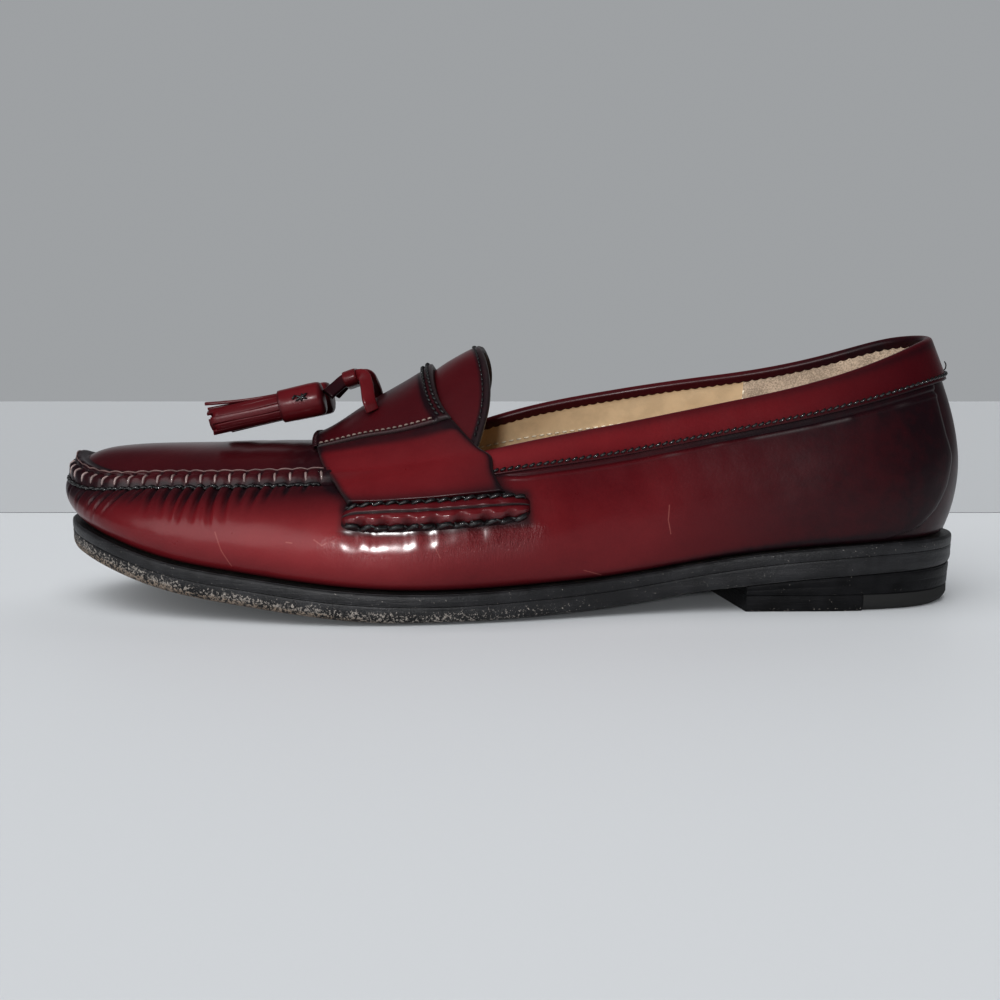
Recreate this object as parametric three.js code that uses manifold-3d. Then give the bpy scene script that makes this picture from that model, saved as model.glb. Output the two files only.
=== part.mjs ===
// Tassel loafer, left shoe, men's size.
// Millimetres, +Z up. The toe points to -X, the heel to +X, the outer side of the foot is -Y.
// Every piece of leather is a patch of one form, the last, made from the sections in LAST.
import * as THREE from 'three';
import { mergeVertices } from 'three/addons/utils/BufferGeometryUtils.js';
import Module from 'manifold-3d';

const wasm = await Module();
wasm.setup();

// Driving sizes of the last and the sole
const LENGTH = 298;
const BALL_WIDTH = 102.4;
const INSTEP_HEIGHT = 75;
const HEEL_HEIGHT = 22;
const TOE_SPRING = 18.4;
const LEDGE = 3.5;

// Thickness of each layer
const UPPER_WALL = 2.2;
const SADDLE_WALL = 1.9;
const TONGUE_WALL = 1.8;
const INSOLE = 2.6;
const MIDSOLE = 3.4;
const OUTSOLE = 5.5;
const TOP_PIECE = 5.2;

// Raised and sunk edges of the upper
const MOC_RIDGE = 2.6;
const COLLAR_STEP = 0.7;
const BACKSTAY_SINK = 0.8;

// Beef rolls, tassels and lace
const ROLL_THICK = 4.6;
const TASSEL_LENGTH = 38;
const CAP_LENGTH = 14.5;
const CAP_RADIUS = 5.6;
const FRINGE_RADIUS = 4.5;
const STRIP_THICK = 0.9;
const STRIPS = 11;
const LACE_WIDTH = 3.4;
const KNOT_LENGTH = 4.5;
const KNOT_WALL = 1.8;

// Shape of the sole's edges: lift of its rim over the tread, flat at the ball, and bevels
const EDGE_LIFT = 0.8;
const BALL_FLAT = 0.35;
const TREAD_FLAT = 0.6;
const EDGE_ROUND = 0.6;
const HEEL_TAPER = 1;
const HEEL_BEVEL = 2;

// Clearances between pieces that touch
const GAP = 0.3;
const CURVED_GAP = 0.5;

// What the heel leaves of the sole's rise once the sole's own layers are taken off
const SOLE_EDGE = OUTSOLE + GAP + MIDSOLE;
const HEEL_RISE = HEEL_HEIGHT - SOLE_EDGE;

// Outline and wall of the last, once round from the toe by the outer side to the heel and back.
// along is a share of LENGTH, across, bellyOut, shoulderOut and inset are shares of BALL_WIDTH,
// ledge is a share of LEDGE, rise of INSTEP_HEIGHT, bellyUp and shoulderUp of the wall's height.
const LAST = [
  // place, along, across, ledge, bellyOut, bellyUp, shoulderOut, shoulderUp, inset, rise
  ['toe', -0.497, 0.024, 1.0, 0.059, 0.35, 0.059, 0.80, 0.022, 0.221],
  ['outer toe', -0.465, -0.190, 1.0, 0.063, 0.35, 0.073, 0.82, 0.059, 0.196],
  ['outer vamp', -0.397, -0.345, 1.0, 0.063, 0.38, 0.103, 0.86, 0.140, 0.263],
  ['outer joint', -0.302, -0.435, 1.0, 0.063, 0.40, 0.122, 0.90, 0.166, 0.341],
  ['outer ball', -0.195, -0.493, 1.0, 0.059, 0.40, 0.137, 0.90, 0.195, 0.406],
  ['outer instep', -0.094, -0.493, 1.0, 0.054, 0.38, 0.132, 0.84, 0.181, 0.479],
  ['outer throat', 0.027, -0.430, 0.9, 0.059, 0.35, 0.078, 0.74, 0.112, 0.573],
  ['outer waist', 0.151, -0.347, 0.7, 0.054, 0.35, 0.044, 0.70, 0.068, 0.624],
  ['outer quarter', 0.268, -0.317, 0.6, 0.049, 0.35, 0.044, 0.70, 0.073, 0.652],
  ['outer heel', 0.376, -0.303, 0.6, 0.044, 0.35, 0.059, 0.68, 0.098, 0.733],
  ['outer back', 0.460, -0.210, 0.6, 0.064, 0.35, 0.070, 0.66, 0.100, 0.827],
  ['heel', 0.498, 0.000, 0.7, 0.098, 0.35, 0.086, 0.66, 0.096, 0.866],
  ['inner back', 0.461, 0.200, 0.6, 0.064, 0.35, 0.070, 0.66, 0.092, 0.865],
  ['inner heel', 0.376, 0.293, 0.6, 0.044, 0.35, 0.059, 0.68, 0.088, 0.797],
  ['inner quarter', 0.268, 0.298, 0.6, 0.063, 0.35, 0.054, 0.70, 0.049, 0.748],
  ['inner waist', 0.151, 0.288, 0.3, 0.093, 0.35, 0.063, 0.70, 0.015, 0.750],
  ['inner throat', 0.027, 0.352, 0.7, 0.083, 0.35, 0.088, 0.74, 0.044, 0.698],
  ['inner instep', -0.094, 0.454, 1.0, 0.063, 0.38, 0.127, 0.84, 0.142, 0.543],
  ['inner ball', -0.195, 0.498, 1.0, 0.059, 0.40, 0.137, 0.90, 0.190, 0.404],
  ['inner joint', -0.302, 0.464, 1.0, 0.063, 0.40, 0.122, 0.90, 0.171, 0.325],
  ['inner vamp', -0.394, 0.391, 1.0, 0.063, 0.38, 0.103, 0.86, 0.150, 0.250],
  ['inner toe', -0.465, 0.239, 1.0, 0.063, 0.35, 0.073, 0.82, 0.085, 0.198],
];

// Side line of the sole, its walking face at the centre.
// along is a share of LENGTH, spring of TOE_SPRING and heel of HEEL_RISE.
const SOLE_LINE = [
  // along, spring, heel
  [-0.503, 1.000, 0.00],
  [-0.440, 0.788, 0.00],
  [-0.356, 0.446, 0.00],
  [-0.268, 0.245, 0.00],
  [-0.168, 0.065, 0.00],
  [-0.084, 0.000, 0.00],
  [0.017, 0.000, 0.06],
  [0.117, 0.000, 0.23],
  [0.228, 0.000, 0.61],
  [0.309, 0.000, 0.82],
  [0.403, 0.000, 0.96],
  [0.503, 0.000, 1.00],
];

// Crown of the plug and of the arch that the tongue and saddle lie on, over the centre line.
// along is a share of LENGTH and rise a share of INSTEP_HEIGHT, over the top of the sole.
const CROWN = [
  // along, rise
  [-0.497, 0.217],
  [-0.470, 0.299],
  [-0.436, 0.359],
  [-0.386, 0.421],
  [-0.302, 0.492],
  [-0.235, 0.526],
  [-0.215, 0.542],
  [-0.195, 0.586],
  [-0.168, 0.665],
  [-0.148, 0.721],
  [-0.121, 0.786],
  [-0.094, 0.856],
  [-0.067, 0.928],
  [-0.034, 0.991],
  [0.000, 1.046],
];
const CROWN_FULLNESS = 2.2;

// Edges of the pieces, as shares of the way from toe to heel along the sole's edge
const PLUG_END = 0.372;
const BREAST = 0.732;
const BREAST_SKEW = 0.022;
const RUBBER_EDGE = 0.842;
const BACKSTAY_EDGE = 0.937;
const RIDGE_FADE = 0.302;
const RIDGE_END = 0.316;
const COLLAR_FADE = 0.504;
const COLLAR_START = 0.522;

// Saddle edges at a few heights: over the crown at 0, at the panel's seam, at the edge of the
// arch at 1, and down the wall at 2, where the strap goes under the beef roll.
const SADDLE = [
  // height, front, rear
  [0.0, 0.309, 0.441],
  [0.5, 0.314, 0.445],
  [0.8, 0.322, 0.461],
  [1.0, 0.331, 0.486],
  [1.5, 0.347, 0.497],
  [2.0, 0.362, 0.505],
];
const STRAP_FOOT = 0.64;

// Beef roll over the wall: its ends as places, its lower and upper edge as heights of the wall
const ROLL = { front: 0.357, rear: 0.527, low: 0.43, high: 0.626 };

// Lower seam of the saddle's centre panel: where it runs over the arch, front to rear
const PANEL_SEAM = [
  // progress, height
  [0.0, 0.63],
  [0.3, 0.70],
  [0.6, 0.765],
  [1.0, 0.81],
];

// Free edge of the tongue over the arch
const TONGUE_EDGE = [
  // height, place
  [0.00, 0.485],
  [0.41, 0.492],
  [0.63, 0.496],
  [0.80, 0.495],
  [1.00, 0.484],
];

// Routes of the laces, in millimetres: up out of a hole in the saddle's panel, through the
// keeper and on to the tassel's cap
const LACE_ROUTES = {
  outer: [
    [-44.5, -15.7, 62.35],
    [-45.5, -16.2, 65.5],
    [-46.9, -11.4, 71.0],
    [-48.8, -5.9, 73.6],
    [-51.4, -3.8, 73.4],
    [-54.8, -3.7, 72.2],
    [-57.6, -5.2, 69.8],
    [-60.2, -7.2, 67.4],
  ],
  inner: [
    [-45.8, 16.3, 63.5],
    [-46.6, 16.3, 66.7],
    [-47.7, 11.6, 71.5],
    [-49.0, 5.9, 73.8],
    [-51.4, 3.8, 73.4],
    [-54.8, 3.7, 72.2],
    [-57.6, 5.2, 69.8],
    [-60.2, 7.2, 67.4],
  ],
};
const TASSEL_TOP = [-61.3, -7.7, 66.6];
const TASSEL_TIP = [-97, -9.6, 58.8];
const KNOT_AT = [-53.1, 0, 72.8];
const KNOT_TOWARDS = [-60, 0, 70.4];

// Section of a tassel's cap from its top down: shares of the cap's radius and length
const CAP_SECTION = [
  // radius, length
  [0.72, 0],
  [1, 0.12],
  [0.96, 0.6],
  [0.92, 1],
];

// Tassel's core under the strips: where it leaves the cap and ends, and how it narrows
const CORE_START = 1.02;
const CORE_END = 0.93;
const CORE_TAPER = 0.94;

// Strips: where they start in the cap, how much of the way round they cover, and how far
// their ends differ, in this many steps taken in this order
const STRIP_START = 0.9;
const STRIP_COVER = 0.86;
const STRIP_STAGGER = 0.06;
const STAGGER_STEPS = 4;
const STAGGER_JUMP = 3;

// Tassel, lace and keeper made this finely, and the keeper's room round the laces
const TASSEL_SIDES = 14;
const LACE_STEPS = 12;
const LACE_SIDES = 4;
const KNOT_SIDES = 8;
const KNOT_CLEAR = 1.0;
const KNOT_SPREAD = 3.9;

// Colours and finish of each material
const COLOURS = {
  leather: { color: 0x5a1418, roughness: 0.3, metalness: 0 },
  darkLeather: { color: 0x3a0f14, roughness: 0.35, metalness: 0 },
  lining: { color: 0xc9a779, roughness: 0.8, metalness: 0 },
  sole: { color: 0x17130f, roughness: 0.6, metalness: 0 },
  rubber: { color: 0x121212, roughness: 0.75, metalness: 0 },
};

// Cubic spline of one column through the rows of a table, with free ends
function openSpline(knots, values) {
  const last = knots.length - 1;
  const bend = bends(knots, values, false);
  return (at) => {
    const x = Math.min(Math.max(at, knots[0]), knots[last]);
    let row = 0;
    while (row < last - 1 && x > knots[row + 1]) row += 1;
    return cubic(x, knots[row], knots[row + 1], values[row], values[row + 1], bend[row], bend[row + 1]);
  };
}

// The same, closed on itself after one turn, for a number that goes once round the last
function closedSpline(knots, values) {
  const count = knots.length;
  const bend = bends([...knots, knots[0] + 1], values, true);
  return (at) => {
    const x = at - Math.floor(at);
    let row = 0;
    while (row < count - 1 && x > knots[row + 1]) row += 1;
    const next = (row + 1) % count;
    const end = next === 0 ? knots[0] + 1 : knots[next];
    return cubic(x, knots[row], end, values[row], values[next], bend[row], bend[next]);
  };
}

function cubic(x, x0, x1, y0, y1, bend0, bend1) {
  const step = x1 - x0;
  const u = (x - x0) / step;
  const w = 1 - u;
  return w * y0 + u * y1 + ((w ** 3 - w) * bend0 + (u ** 3 - u) * bend1) * step * step / 6;
}

// Second derivatives of a cubic spline at its knots, from the usual system of equations
function bends(knots, values, closed) {
  const count = values.length;
  const matrix = Array.from({ length: count }, () => new Array(count).fill(0));
  const right = new Array(count).fill(0);
  for (let row = 0; row < count; row += 1) {
    const atEnd = row === 0 || row === count - 1;
    if (atEnd && !closed) {
      matrix[row][row] = 1;
      continue;
    }
    const before = (row + count - 1) % count;
    const after = (row + 1) % count;
    const span = knots[knots.length - 1] - knots[0];
    const left = knots[row] - knots[before] + (before > row ? span : 0);
    const ahead = knots[row + 1] - knots[row];
    matrix[row][before] += left;
    matrix[row][row] += 2 * (left + ahead);
    matrix[row][after] += ahead;
    right[row] = 6 * ((values[after] - values[row]) / ahead - (values[row] - values[before]) / left);
  }
  return solve(matrix, right);
}

function solve(matrix, right) {
  const count = right.length;
  for (let col = 0; col < count; col += 1) {
    for (let row = col + 1; row < count; row += 1) {
      const ratio = matrix[row][col] / matrix[col][col];
      for (let k = col; k < count; k += 1) matrix[row][k] -= ratio * matrix[col][k];
      right[row] -= ratio * right[col];
    }
  }
  const result = new Array(count).fill(0);
  for (let row = count - 1; row >= 0; row -= 1) {
    let sum = right[row];
    for (let k = row + 1; k < count; k += 1) sum -= matrix[row][k] * result[k];
    result[row] = sum / matrix[row][row];
  }
  return result;
}

// Straight lines between the rows of a short table
function ramp(rows, from, to) {
  return (at) => {
    let row = 0;
    while (row < rows.length - 2 && at > rows[row + 1][from]) row += 1;
    const u = THREE.MathUtils.clamp((at - rows[row][from]) / (rows[row + 1][from] - rows[row][from]), 0, 1);
    return rows[row][to] * (1 - u) + rows[row + 1][to] * u;
  };
}

// The form: a turn of 0 to 0.5 is the outer side from toe to heel, 0.5 to 1 the inner side back
const heelRow = LAST.findIndex((row) => row[0] === 'heel');
const turnRun = LAST.reduce((run, here, row) => {
  const after = LAST[(row + 1) % LAST.length];
  const step = Math.hypot((after[1] - here[1]) * LENGTH, (after[2] - here[2]) * BALL_WIDTH);
  return [...run, run[row] + step];
}, [0]);
const turns = LAST.map((_, row) => {
  const half = turnRun[heelRow];
  const innerRun = turnRun[LAST.length] - half;
  return row <= heelRow ? 0.5 * turnRun[row] / half : 0.5 + 0.5 * (turnRun[row] - half) / innerRun;
});

const column = (index, unit) => closedSpline(turns, LAST.map((row) => row[index] * unit));
const edgeX = column(1, LENGTH);
const edgeY = column(2, BALL_WIDTH);
const ledge = column(3, LEDGE);
const bellyOut = column(4, BALL_WIDTH);
const bellyUp = column(5, 1);
const shoulderOut = column(6, BALL_WIDTH);
const shoulderUp = column(7, 1);
const inset = column(8, BALL_WIDTH);
const rise = column(9, INSTEP_HEIGHT);

const soleLine = openSpline(
  SOLE_LINE.map((row) => row[0] * LENGTH),
  SOLE_LINE.map((row) => row[1] * TOE_SPRING + row[2] * HEEL_RISE),
);
const crownRise = openSpline(CROWN.map((row) => row[0] * LENGTH), CROWN.map((row) => row[1] * INSTEP_HEIGHT));
const soleTop = (x) => soleLine(x) + SOLE_EDGE;

// Outward direction in plan at a turn of the sole's edge
function outward(turn) {
  const small = 1e-4;
  const dx = edgeX(turn + small) - edgeX(turn - small);
  const dy = edgeY(turn + small) - edgeY(turn - small);
  const length = Math.hypot(dx, dy);
  return [dy / length, -dx / length];
}

// Point of the sole's edge, moved inward
function edgePoint(turn, inward) {
  const [nx, ny] = outward(turn);
  return new THREE.Vector2(edgeX(turn) - nx * inward, edgeY(turn) - ny * inward);
}

// Side wall of the last: a cubic curve from the feather line at 0 to the top line at 1
function wall(turn, height) {
  const [nx, ny] = outward(turn);
  const foot = edgePoint(turn, ledge(turn));
  const top = edgePoint(turn, inset(turn));
  const z0 = soleTop(foot.x) + GAP;
  const tall = rise(turn);
  const points = [
    new THREE.Vector3(foot.x, foot.y, z0),
    new THREE.Vector3(foot.x + nx * bellyOut(turn), foot.y + ny * bellyOut(turn), z0 + bellyUp(turn) * tall),
    new THREE.Vector3(top.x + nx * shoulderOut(turn), top.y + ny * shoulderOut(turn), z0 + shoulderUp(turn) * tall),
    new THREE.Vector3(top.x, top.y, z0 + tall),
  ];
  return new THREE.CubicBezierCurve3(...points).getPoint(height);
}

// Length of the sole's edge from toe to heel, which a place is a share of
const edgeLength = turnRun[heelRow];
const smooth = (u) => THREE.MathUtils.smoothstep(u, 0, 1);
const spread = (count) => Array.from({ length: count + 1 }, (_, i) => i / count);
const turnOf = (place, side) => (side < 0 ? place / 2 : 1 - place / 2);

// Arch from the outer top line at -1 over the crown at 0 to the inner top line at 1
function arch(place, across) {
  const outer = wall(turnOf(place, -1), 1);
  const inner = wall(turnOf(place, 1), 1);
  const middle = outer.clone().add(inner).multiplyScalar(0.5);
  const crown = soleTop(middle.x) + crownRise(middle.x) - middle.z;
  const point = outer.lerp(inner, (across + 1) / 2);
  point.z += crown * (1 - Math.abs(across) ** CROWN_FULLNESS);
  return point;
}

// A point of the form by one number: 0 is the crown, 1 the top line, 2 the foot of the strap
function over(place, side, height) {
  if (height <= 1) return arch(place, side * height);
  return wall(turnOf(place, side), 1 - (height - 1) * (1 - STRAP_FOOT));
}

// Collects points and triangles; points that coincide are shared
class Skin {
  constructor() {
    this.points = [];
    this.levels = [];
    this.faces = [];
    this.found = new Map();
  }

  point(at, level = 0) {
    const key = [at.x, at.y, at.z].map((v) => Math.round(v * 1e4)).join();
    if (!this.found.has(key)) {
      this.found.set(key, this.points.length);
      this.points.push(at.clone());
      this.levels.push(level);
    }
    return this.found.get(key);
  }

  face(a, b, c) {
    if (a !== b && b !== c && c !== a) this.faces.push([a, b, c]);
  }

  quad(a, b, c, d) {
    this.face(a, b, c);
    this.face(a, c, d);
  }

  // Rows of point numbers; the faces look to the side that makes row then column turn left
  grid(rows, flip = false) {
    for (let r = 0; r + 1 < rows.length; r += 1) {
      for (let c = 0; c + 1 < rows[r].length; c += 1) {
        const ring = [rows[r][c], rows[r + 1][c], rows[r + 1][c + 1], rows[r][c + 1]];
        if (flip) ring.reverse();
        this.quad(...ring);
      }
    }
  }

  normals() {
    const sums = this.points.map(() => new THREE.Vector3());
    for (const [a, b, c] of this.faces) {
      const ab = this.points[b].clone().sub(this.points[a]);
      const ac = this.points[c].clone().sub(this.points[a]);
      const cross = ab.cross(ac);
      for (const corner of [a, b, c]) sums[corner].add(cross);
    }
    return sums.map((sum) => sum.normalize());
  }

  geometry() {
    const result = new THREE.BufferGeometry();
    result.setAttribute('position', new THREE.Float32BufferAttribute(this.points.flatMap((p) => p.toArray()), 3));
    result.setIndex(this.faces.flat());
    result.computeVertexNormals();
    return result;
  }
}

// Gives an open skin its wall: outer faces at each point's level, inner ones a thickness below
function thicken(sheet, outer, thickness) {
  const normals = sheet.normals();
  const shell = new Skin();
  const outside = sheet.points.map((p, i) => p.clone().addScaledVector(normals[i], outer + sheet.levels[i]));
  const inside = sheet.points.map((p, i) => p.clone().addScaledVector(normals[i], outer - thickness));
  const count = sheet.points.length;
  shell.points = [...outside, ...inside];
  const used = new Set(sheet.faces.flatMap(([a, b, c]) => [`${a}_${b}`, `${b}_${c}`, `${c}_${a}`]));
  for (const [a, b, c] of sheet.faces) {
    shell.face(a, b, c);
    shell.face(a + count, c + count, b + count);
    for (const [from, to] of [[a, b], [b, c], [c, a]]) {
      if (!used.has(`${to}_${from}`)) shell.quad(to, from, from + count, to + count);
    }
  }
  return shell;
}

// How finely the surfaces are cut up, and where their columns run
const TONGUE_ROWS = 5;
const PANEL_ROWS = 6;
const STRAP_ROWS = 6;
const ROLL_STEPS = 10;
const ROLL_SECTION = 6;
const PANEL_COLUMNS = [-1, -0.85, -0.65, -0.45, -0.22, 0, 0.22, 0.45, 0.65, 0.85, 1];
const STRAP_COLUMNS = [1, 1.125, 1.25, 1.45, 1.75, 2];

// The seam between strap and panel and the tongue's sides stop this share short
const SEAM_CLEAR = 0.006;
const ARCH_CLEAR = 0.993;

// A beef roll's edge is this thick, its ends round off with this power, and the heel's breast
// takes over from the tread's lifted rim over this run
const ROLL_EDGE = 0.8;
const ROLL_END = 6;
const BREAST_RUN = 20;

// Places from toe to heel, closer together round the toe and the heel
const STATIONS = 38;
const CLOSER = 0.45;
const STEP_SHARE = 0.004;
const SEAM_ROOM = 1.5 * STEP_SHARE;
const evenPlaces = Array.from({ length: STATIONS + 1 }, (_, i) => {
  const u = i / STATIONS;
  return u - CLOSER * Math.sin(2 * Math.PI * u) / (2 * Math.PI);
});
const seamPlaces = [PLUG_END, BACKSTAY_EDGE, BACKSTAY_EDGE + STEP_SHARE];
const clearOf = (place) => seamPlaces.every((seam) => Math.abs(seam - place) > SEAM_ROOM);
const places = [...evenPlaces.filter(clearOf), ...seamPlaces].sort((a, b) => a - b);

// Rows of the side wall: from the feather line up, in the front part and in the rear part,
// where the last rows stand on the moc ridge and on the collar band
const WALL_ROWS = [
  // front, rear, ridge, collar
  [0.00, 0.00, 0, 0],
  [0.08, 0.07, 0, 0],
  [0.18, 0.17, 0, 0],
  [0.30, 0.29, 0, 0],
  [0.44, 0.43, 0, 0],
  [0.58, 0.58, 0, 0],
  [0.72, 0.755, 0, 0],
  [0.84, 0.775, 0, 1],
  [0.92, 0.89, 0.1, 1],
  [0.955, 0.95, 0.9, 1],
  [1.00, 1.00, 1, 0.6],
];
const PLUG_COLUMNS = [-1, -0.95, -0.88, -0.74, -0.5, -0.25, 0, 0.25, 0.5, 0.74, 0.88, 0.95, 1];
const PLUG_RIDGE = [1, 0.9, 0.05];

// The wall's rows pass from the front heights to the rear ones between these places
const REAR_ROWS_FROM = 0.36;
const REAR_ROWS_BY = 0.46;

// How far the moc ridge stands up at a place: it fades out under the strap
const ridgeAt = (place) => MOC_RIDGE * (1 - smooth((place - RIDGE_FADE) / (RIDGE_END - RIDGE_FADE)));

// The same for the collar band, which comes out from under the strap
const collarAt = (place) => COLLAR_STEP * smooth((place - COLLAR_FADE) / (COLLAR_START - COLLAR_FADE));

function upperSheet() {
  const sheet = new Skin();
  const ring = [...places.slice(0, -1).map((p) => [p, -1]), ...places.slice(1).reverse().map((p) => [p, 1])];
  const rows = WALL_ROWS.map(([front, rear, ridge, collar]) => ring.map(([place, side]) => {
    const back = smooth((place - REAR_ROWS_FROM) / (REAR_ROWS_BY - REAR_ROWS_FROM));
    const height = front * (1 - back) + rear * back;
    const sunk = place > BACKSTAY_EDGE && !collar ? -BACKSTAY_SINK : 0;
    const level = ridge * ridgeAt(place) + collar * collarAt(place) + sunk;
    return sheet.point(wall(turnOf(place, side), height), level);
  }));
  sheet.grid(rows.map((row) => [...row, row[0]]).reverse());
  const top = rows[rows.length - 1];
  const last = places.indexOf(PLUG_END);
  const plug = [];
  for (let i = 0; i <= last; i += 1) {
    plug.push(PLUG_COLUMNS.map((across) => {
      if (across === -1) return top[i];
      if (across === 1) return top[(ring.length - i) % ring.length];
      const edge = PLUG_COLUMNS.length - 1 - PLUG_COLUMNS.indexOf(across);
      const near = Math.min(PLUG_COLUMNS.indexOf(across), edge);
      const level = (PLUG_RIDGE[near] ?? 0) * ridgeAt(places[i]);
      return sheet.point(i === 0 ? arch(0, 0) : arch(places[i], across), i === 0 ? ridgeAt(0) : level);
    }));
  }
  sheet.grid(plug);
  return sheet;
}

// Tongue: the arch behind the plug, as far as its free edge
function tongueSheet() {
  const sheet = new Skin();
  const freeEdge = ramp(TONGUE_EDGE, 0, 1);
  const columns = [-1, -0.93, -0.82, -0.65, -0.45, -0.22, 0, 0.22, 0.45, 0.65, 0.82, 0.93, 1];
  const front = PLUG_END + CURVED_GAP / edgeLength;
  const rows = spread(TONGUE_ROWS).map((u) => columns.map((across) => (
    sheet.point(arch(THREE.MathUtils.lerp(front, freeEdge(Math.abs(across)), u), across * ARCH_CLEAR)))));
  sheet.grid(rows);
  return sheet;
}

// A strip of the saddle between two heights on each side; heights may change from front to rear
function saddleSheet(heights, rows) {
  const sheet = new Skin();
  const front = ramp(SADDLE, 0, 1);
  const rear = ramp(SADDLE, 0, 2);
  sheet.grid(spread(rows).map((u) => heights(u).map((height) => {
    const side = Math.sign(height) || 1;
    const tall = Math.abs(height);
    return sheet.point(over(THREE.MathUtils.lerp(front(tall), rear(tall), u), side, tall));
  })));
  return sheet;
}

const seamHeight = ramp(PANEL_SEAM, 0, 1);

// Centre panel of the saddle, from the outer seam over the crown to the inner one
const panelHeights = (u) => PANEL_COLUMNS.map((share) => share * (seamHeight(u) - SEAM_CLEAR));

// Side strap, from the panel's seam down to its foot at the beef roll
const strapHeights = (side) => (u) => {
  const low = seamHeight(u) + SEAM_CLEAR;
  const heights = [low, (low + 1) / 2, ...STRAP_COLUMNS].map((height) => side * height);
  return side < 0 ? heights.reverse() : heights;
};

// Beef roll: a rolled tube of leather along the strap's foot, round in section and at its ends
function beefRoll(side) {
  const sheet = new Skin();
  const along = spread(ROLL_STEPS);
  const up = spread(ROLL_SECTION);
  const rows = up.map((v) => along.map((u) => {
    const place = THREE.MathUtils.lerp(ROLL.front, ROLL.rear, u);
    const height = THREE.MathUtils.lerp(ROLL.low, ROLL.high, v);
    const round = Math.sqrt(1 - (2 * v - 1) ** 2) * (1 - Math.abs(2 * u - 1) ** ROLL_END);
    return sheet.point(wall(turnOf(place, side), height), round * (ROLL_THICK - ROLL_EDGE));
  }));
  sheet.grid(rows, side < 0);
  return thicken(sheet, CURVED_GAP + ROLL_EDGE, ROLL_EDGE).geometry();
}

// Layer of the sole or heel: rows of its edge from the underside up, each moved inward, at a
// share of its height, between two surfaces given as heights over x and the share across
function layer({ from = 0, to = 1, skewed = false, seat = () => 0, edge, columns, bottom, top }) {
  const skin = new Skin();
  const rows = [from, ...places.filter((p) => p > from + STEP_SHARE && p < to - STEP_SHARE), to];
  const plan = (place, across, inward) => {
    const outerTurn = turnOf(place, -1);
    const innerTurn = turnOf(skewed ? place - skewAt(place) : place, 1);
    const outer = edgePoint(outerTurn, inward + seat(outerTurn));
    const inner = edgePoint(innerTurn, inward + seat(innerTurn));
    return outer.lerp(inner, (across + 1) / 2);
  };
  const at = (place, across, [inward, share]) => {
    const p = plan(place, across, inward);
    const rim = place === 0 || place === 1 ? 1 : across;
    const z = THREE.MathUtils.lerp(bottom(p.x, rim), top(p.x, rim), share);
    return skin.point(new THREE.Vector3(p.x, p.y, z));
  };
  const sheetOf = (edgeRow) => rows.map((place) => columns.map((across) => at(place, across, edgeRow)));
  skin.grid(sheetOf(edge[0]), true);
  skin.grid(sheetOf(edge[edge.length - 1]));
  const rim = edge.map((edgeRow) => [
    ...columns.map((across) => [from, across]),
    ...rows.slice(1, -1).map((place) => [place, 1]),
    ...[...columns].reverse().map((across) => [to, across]),
    ...rows.slice(1, -1).reverse().map((place) => [place, -1]),
    [from, -1],
  ].map(([place, across]) => at(place, across, edgeRow)));
  skin.grid(rim);
  return skin.geometry();
}

const skewAt = (place) => BREAST_SKEW * (1 - place) / (1 - BREAST);
const tread = (x) => Math.max(0, soleLine(x) - BALL_FLAT);
const breastX = edgeX(turnOf(BREAST, -1));
const lifted = (x) => 1 - smooth((x - breastX + BREAST_RUN) / BREAST_RUN);
const rimShare = (across) => Math.max(0, (Math.abs(across) - TREAD_FLAT) / (1 - TREAD_FLAT)) ** 2;
const outsoleBottom = (x, across) => tread(x) + EDGE_LIFT * lifted(x) * rimShare(across);
const outsoleTop = (x) => soleLine(x) + OUTSOLE;

const soleLayers = {
  outsole: {
    edge: [[1.2, 0], [0.2, 0.25], [0.2, 0.9], [EDGE_ROUND, 1]],
    columns: [-1, -0.8, -TREAD_FLAT, TREAD_FLAT, 0.8, 1],
    bottom: outsoleBottom,
    top: outsoleTop,
    look: 'sole',
  },
  midsole: {
    edge: [[EDGE_ROUND, 0], [0, 0.2], [0, 0.75], [EDGE_ROUND, 1]],
    columns: [-1, 0, 1],
    bottom: (x) => outsoleTop(x) + GAP,
    top: soleTop,
    look: 'sole',
  },
  insole: {
    seat: (turn) => ledge(turn) + UPPER_WALL + GAP,
    edge: [[EDGE_ROUND, 0], [0, 0.5], [EDGE_ROUND, 1]],
    columns: [-1, 0, 1],
    bottom: (x) => soleTop(x) + GAP,
    top: (x) => soleTop(x) + GAP + INSOLE,
    look: 'lining',
  },
  heel_lift: {
    from: BREAST,
    skewed: true,
    edge: [[HEEL_TAPER, 0], [HEEL_TAPER / 2, 1]],
    columns: [-1, 0, 1],
    bottom: () => TOP_PIECE + GAP,
    top: (x) => tread(x) - GAP,
    look: 'sole',
  },
  heel_top_leather: {
    from: BREAST,
    to: RUBBER_EDGE,
    skewed: true,
    edge: [[HEEL_TAPER + EDGE_ROUND, 0], [HEEL_TAPER, 0.2], [HEEL_TAPER, 1]],
    columns: [-1, 0, 1],
    bottom: () => 0,
    top: () => TOP_PIECE,
    look: 'sole',
  },
  heel_top_rubber: {
    from: RUBBER_EDGE + GAP / edgeLength,
    skewed: true,
    edge: [[HEEL_TAPER + HEEL_BEVEL, 0], [HEEL_TAPER, 0.4], [HEEL_TAPER, 1]],
    columns: [-1, 0, 1],
    bottom: () => 0,
    top: () => TOP_PIECE,
    look: 'rubber',
  },
};

// Tassel, hanging from its cap's top at the origin down -Z, its strips fused onto the fringe
function solidOf(geometry) {
  geometry.deleteAttribute('normal');
  geometry.deleteAttribute('uv');
  const merged = mergeVertices(geometry, 1e-4);
  return new wasm.Manifold(new wasm.Mesh({
    numProp: 3,
    vertProperties: new Float32Array(merged.attributes.position.array),
    triVerts: new Uint32Array(merged.index.array),
  }));
}

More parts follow.
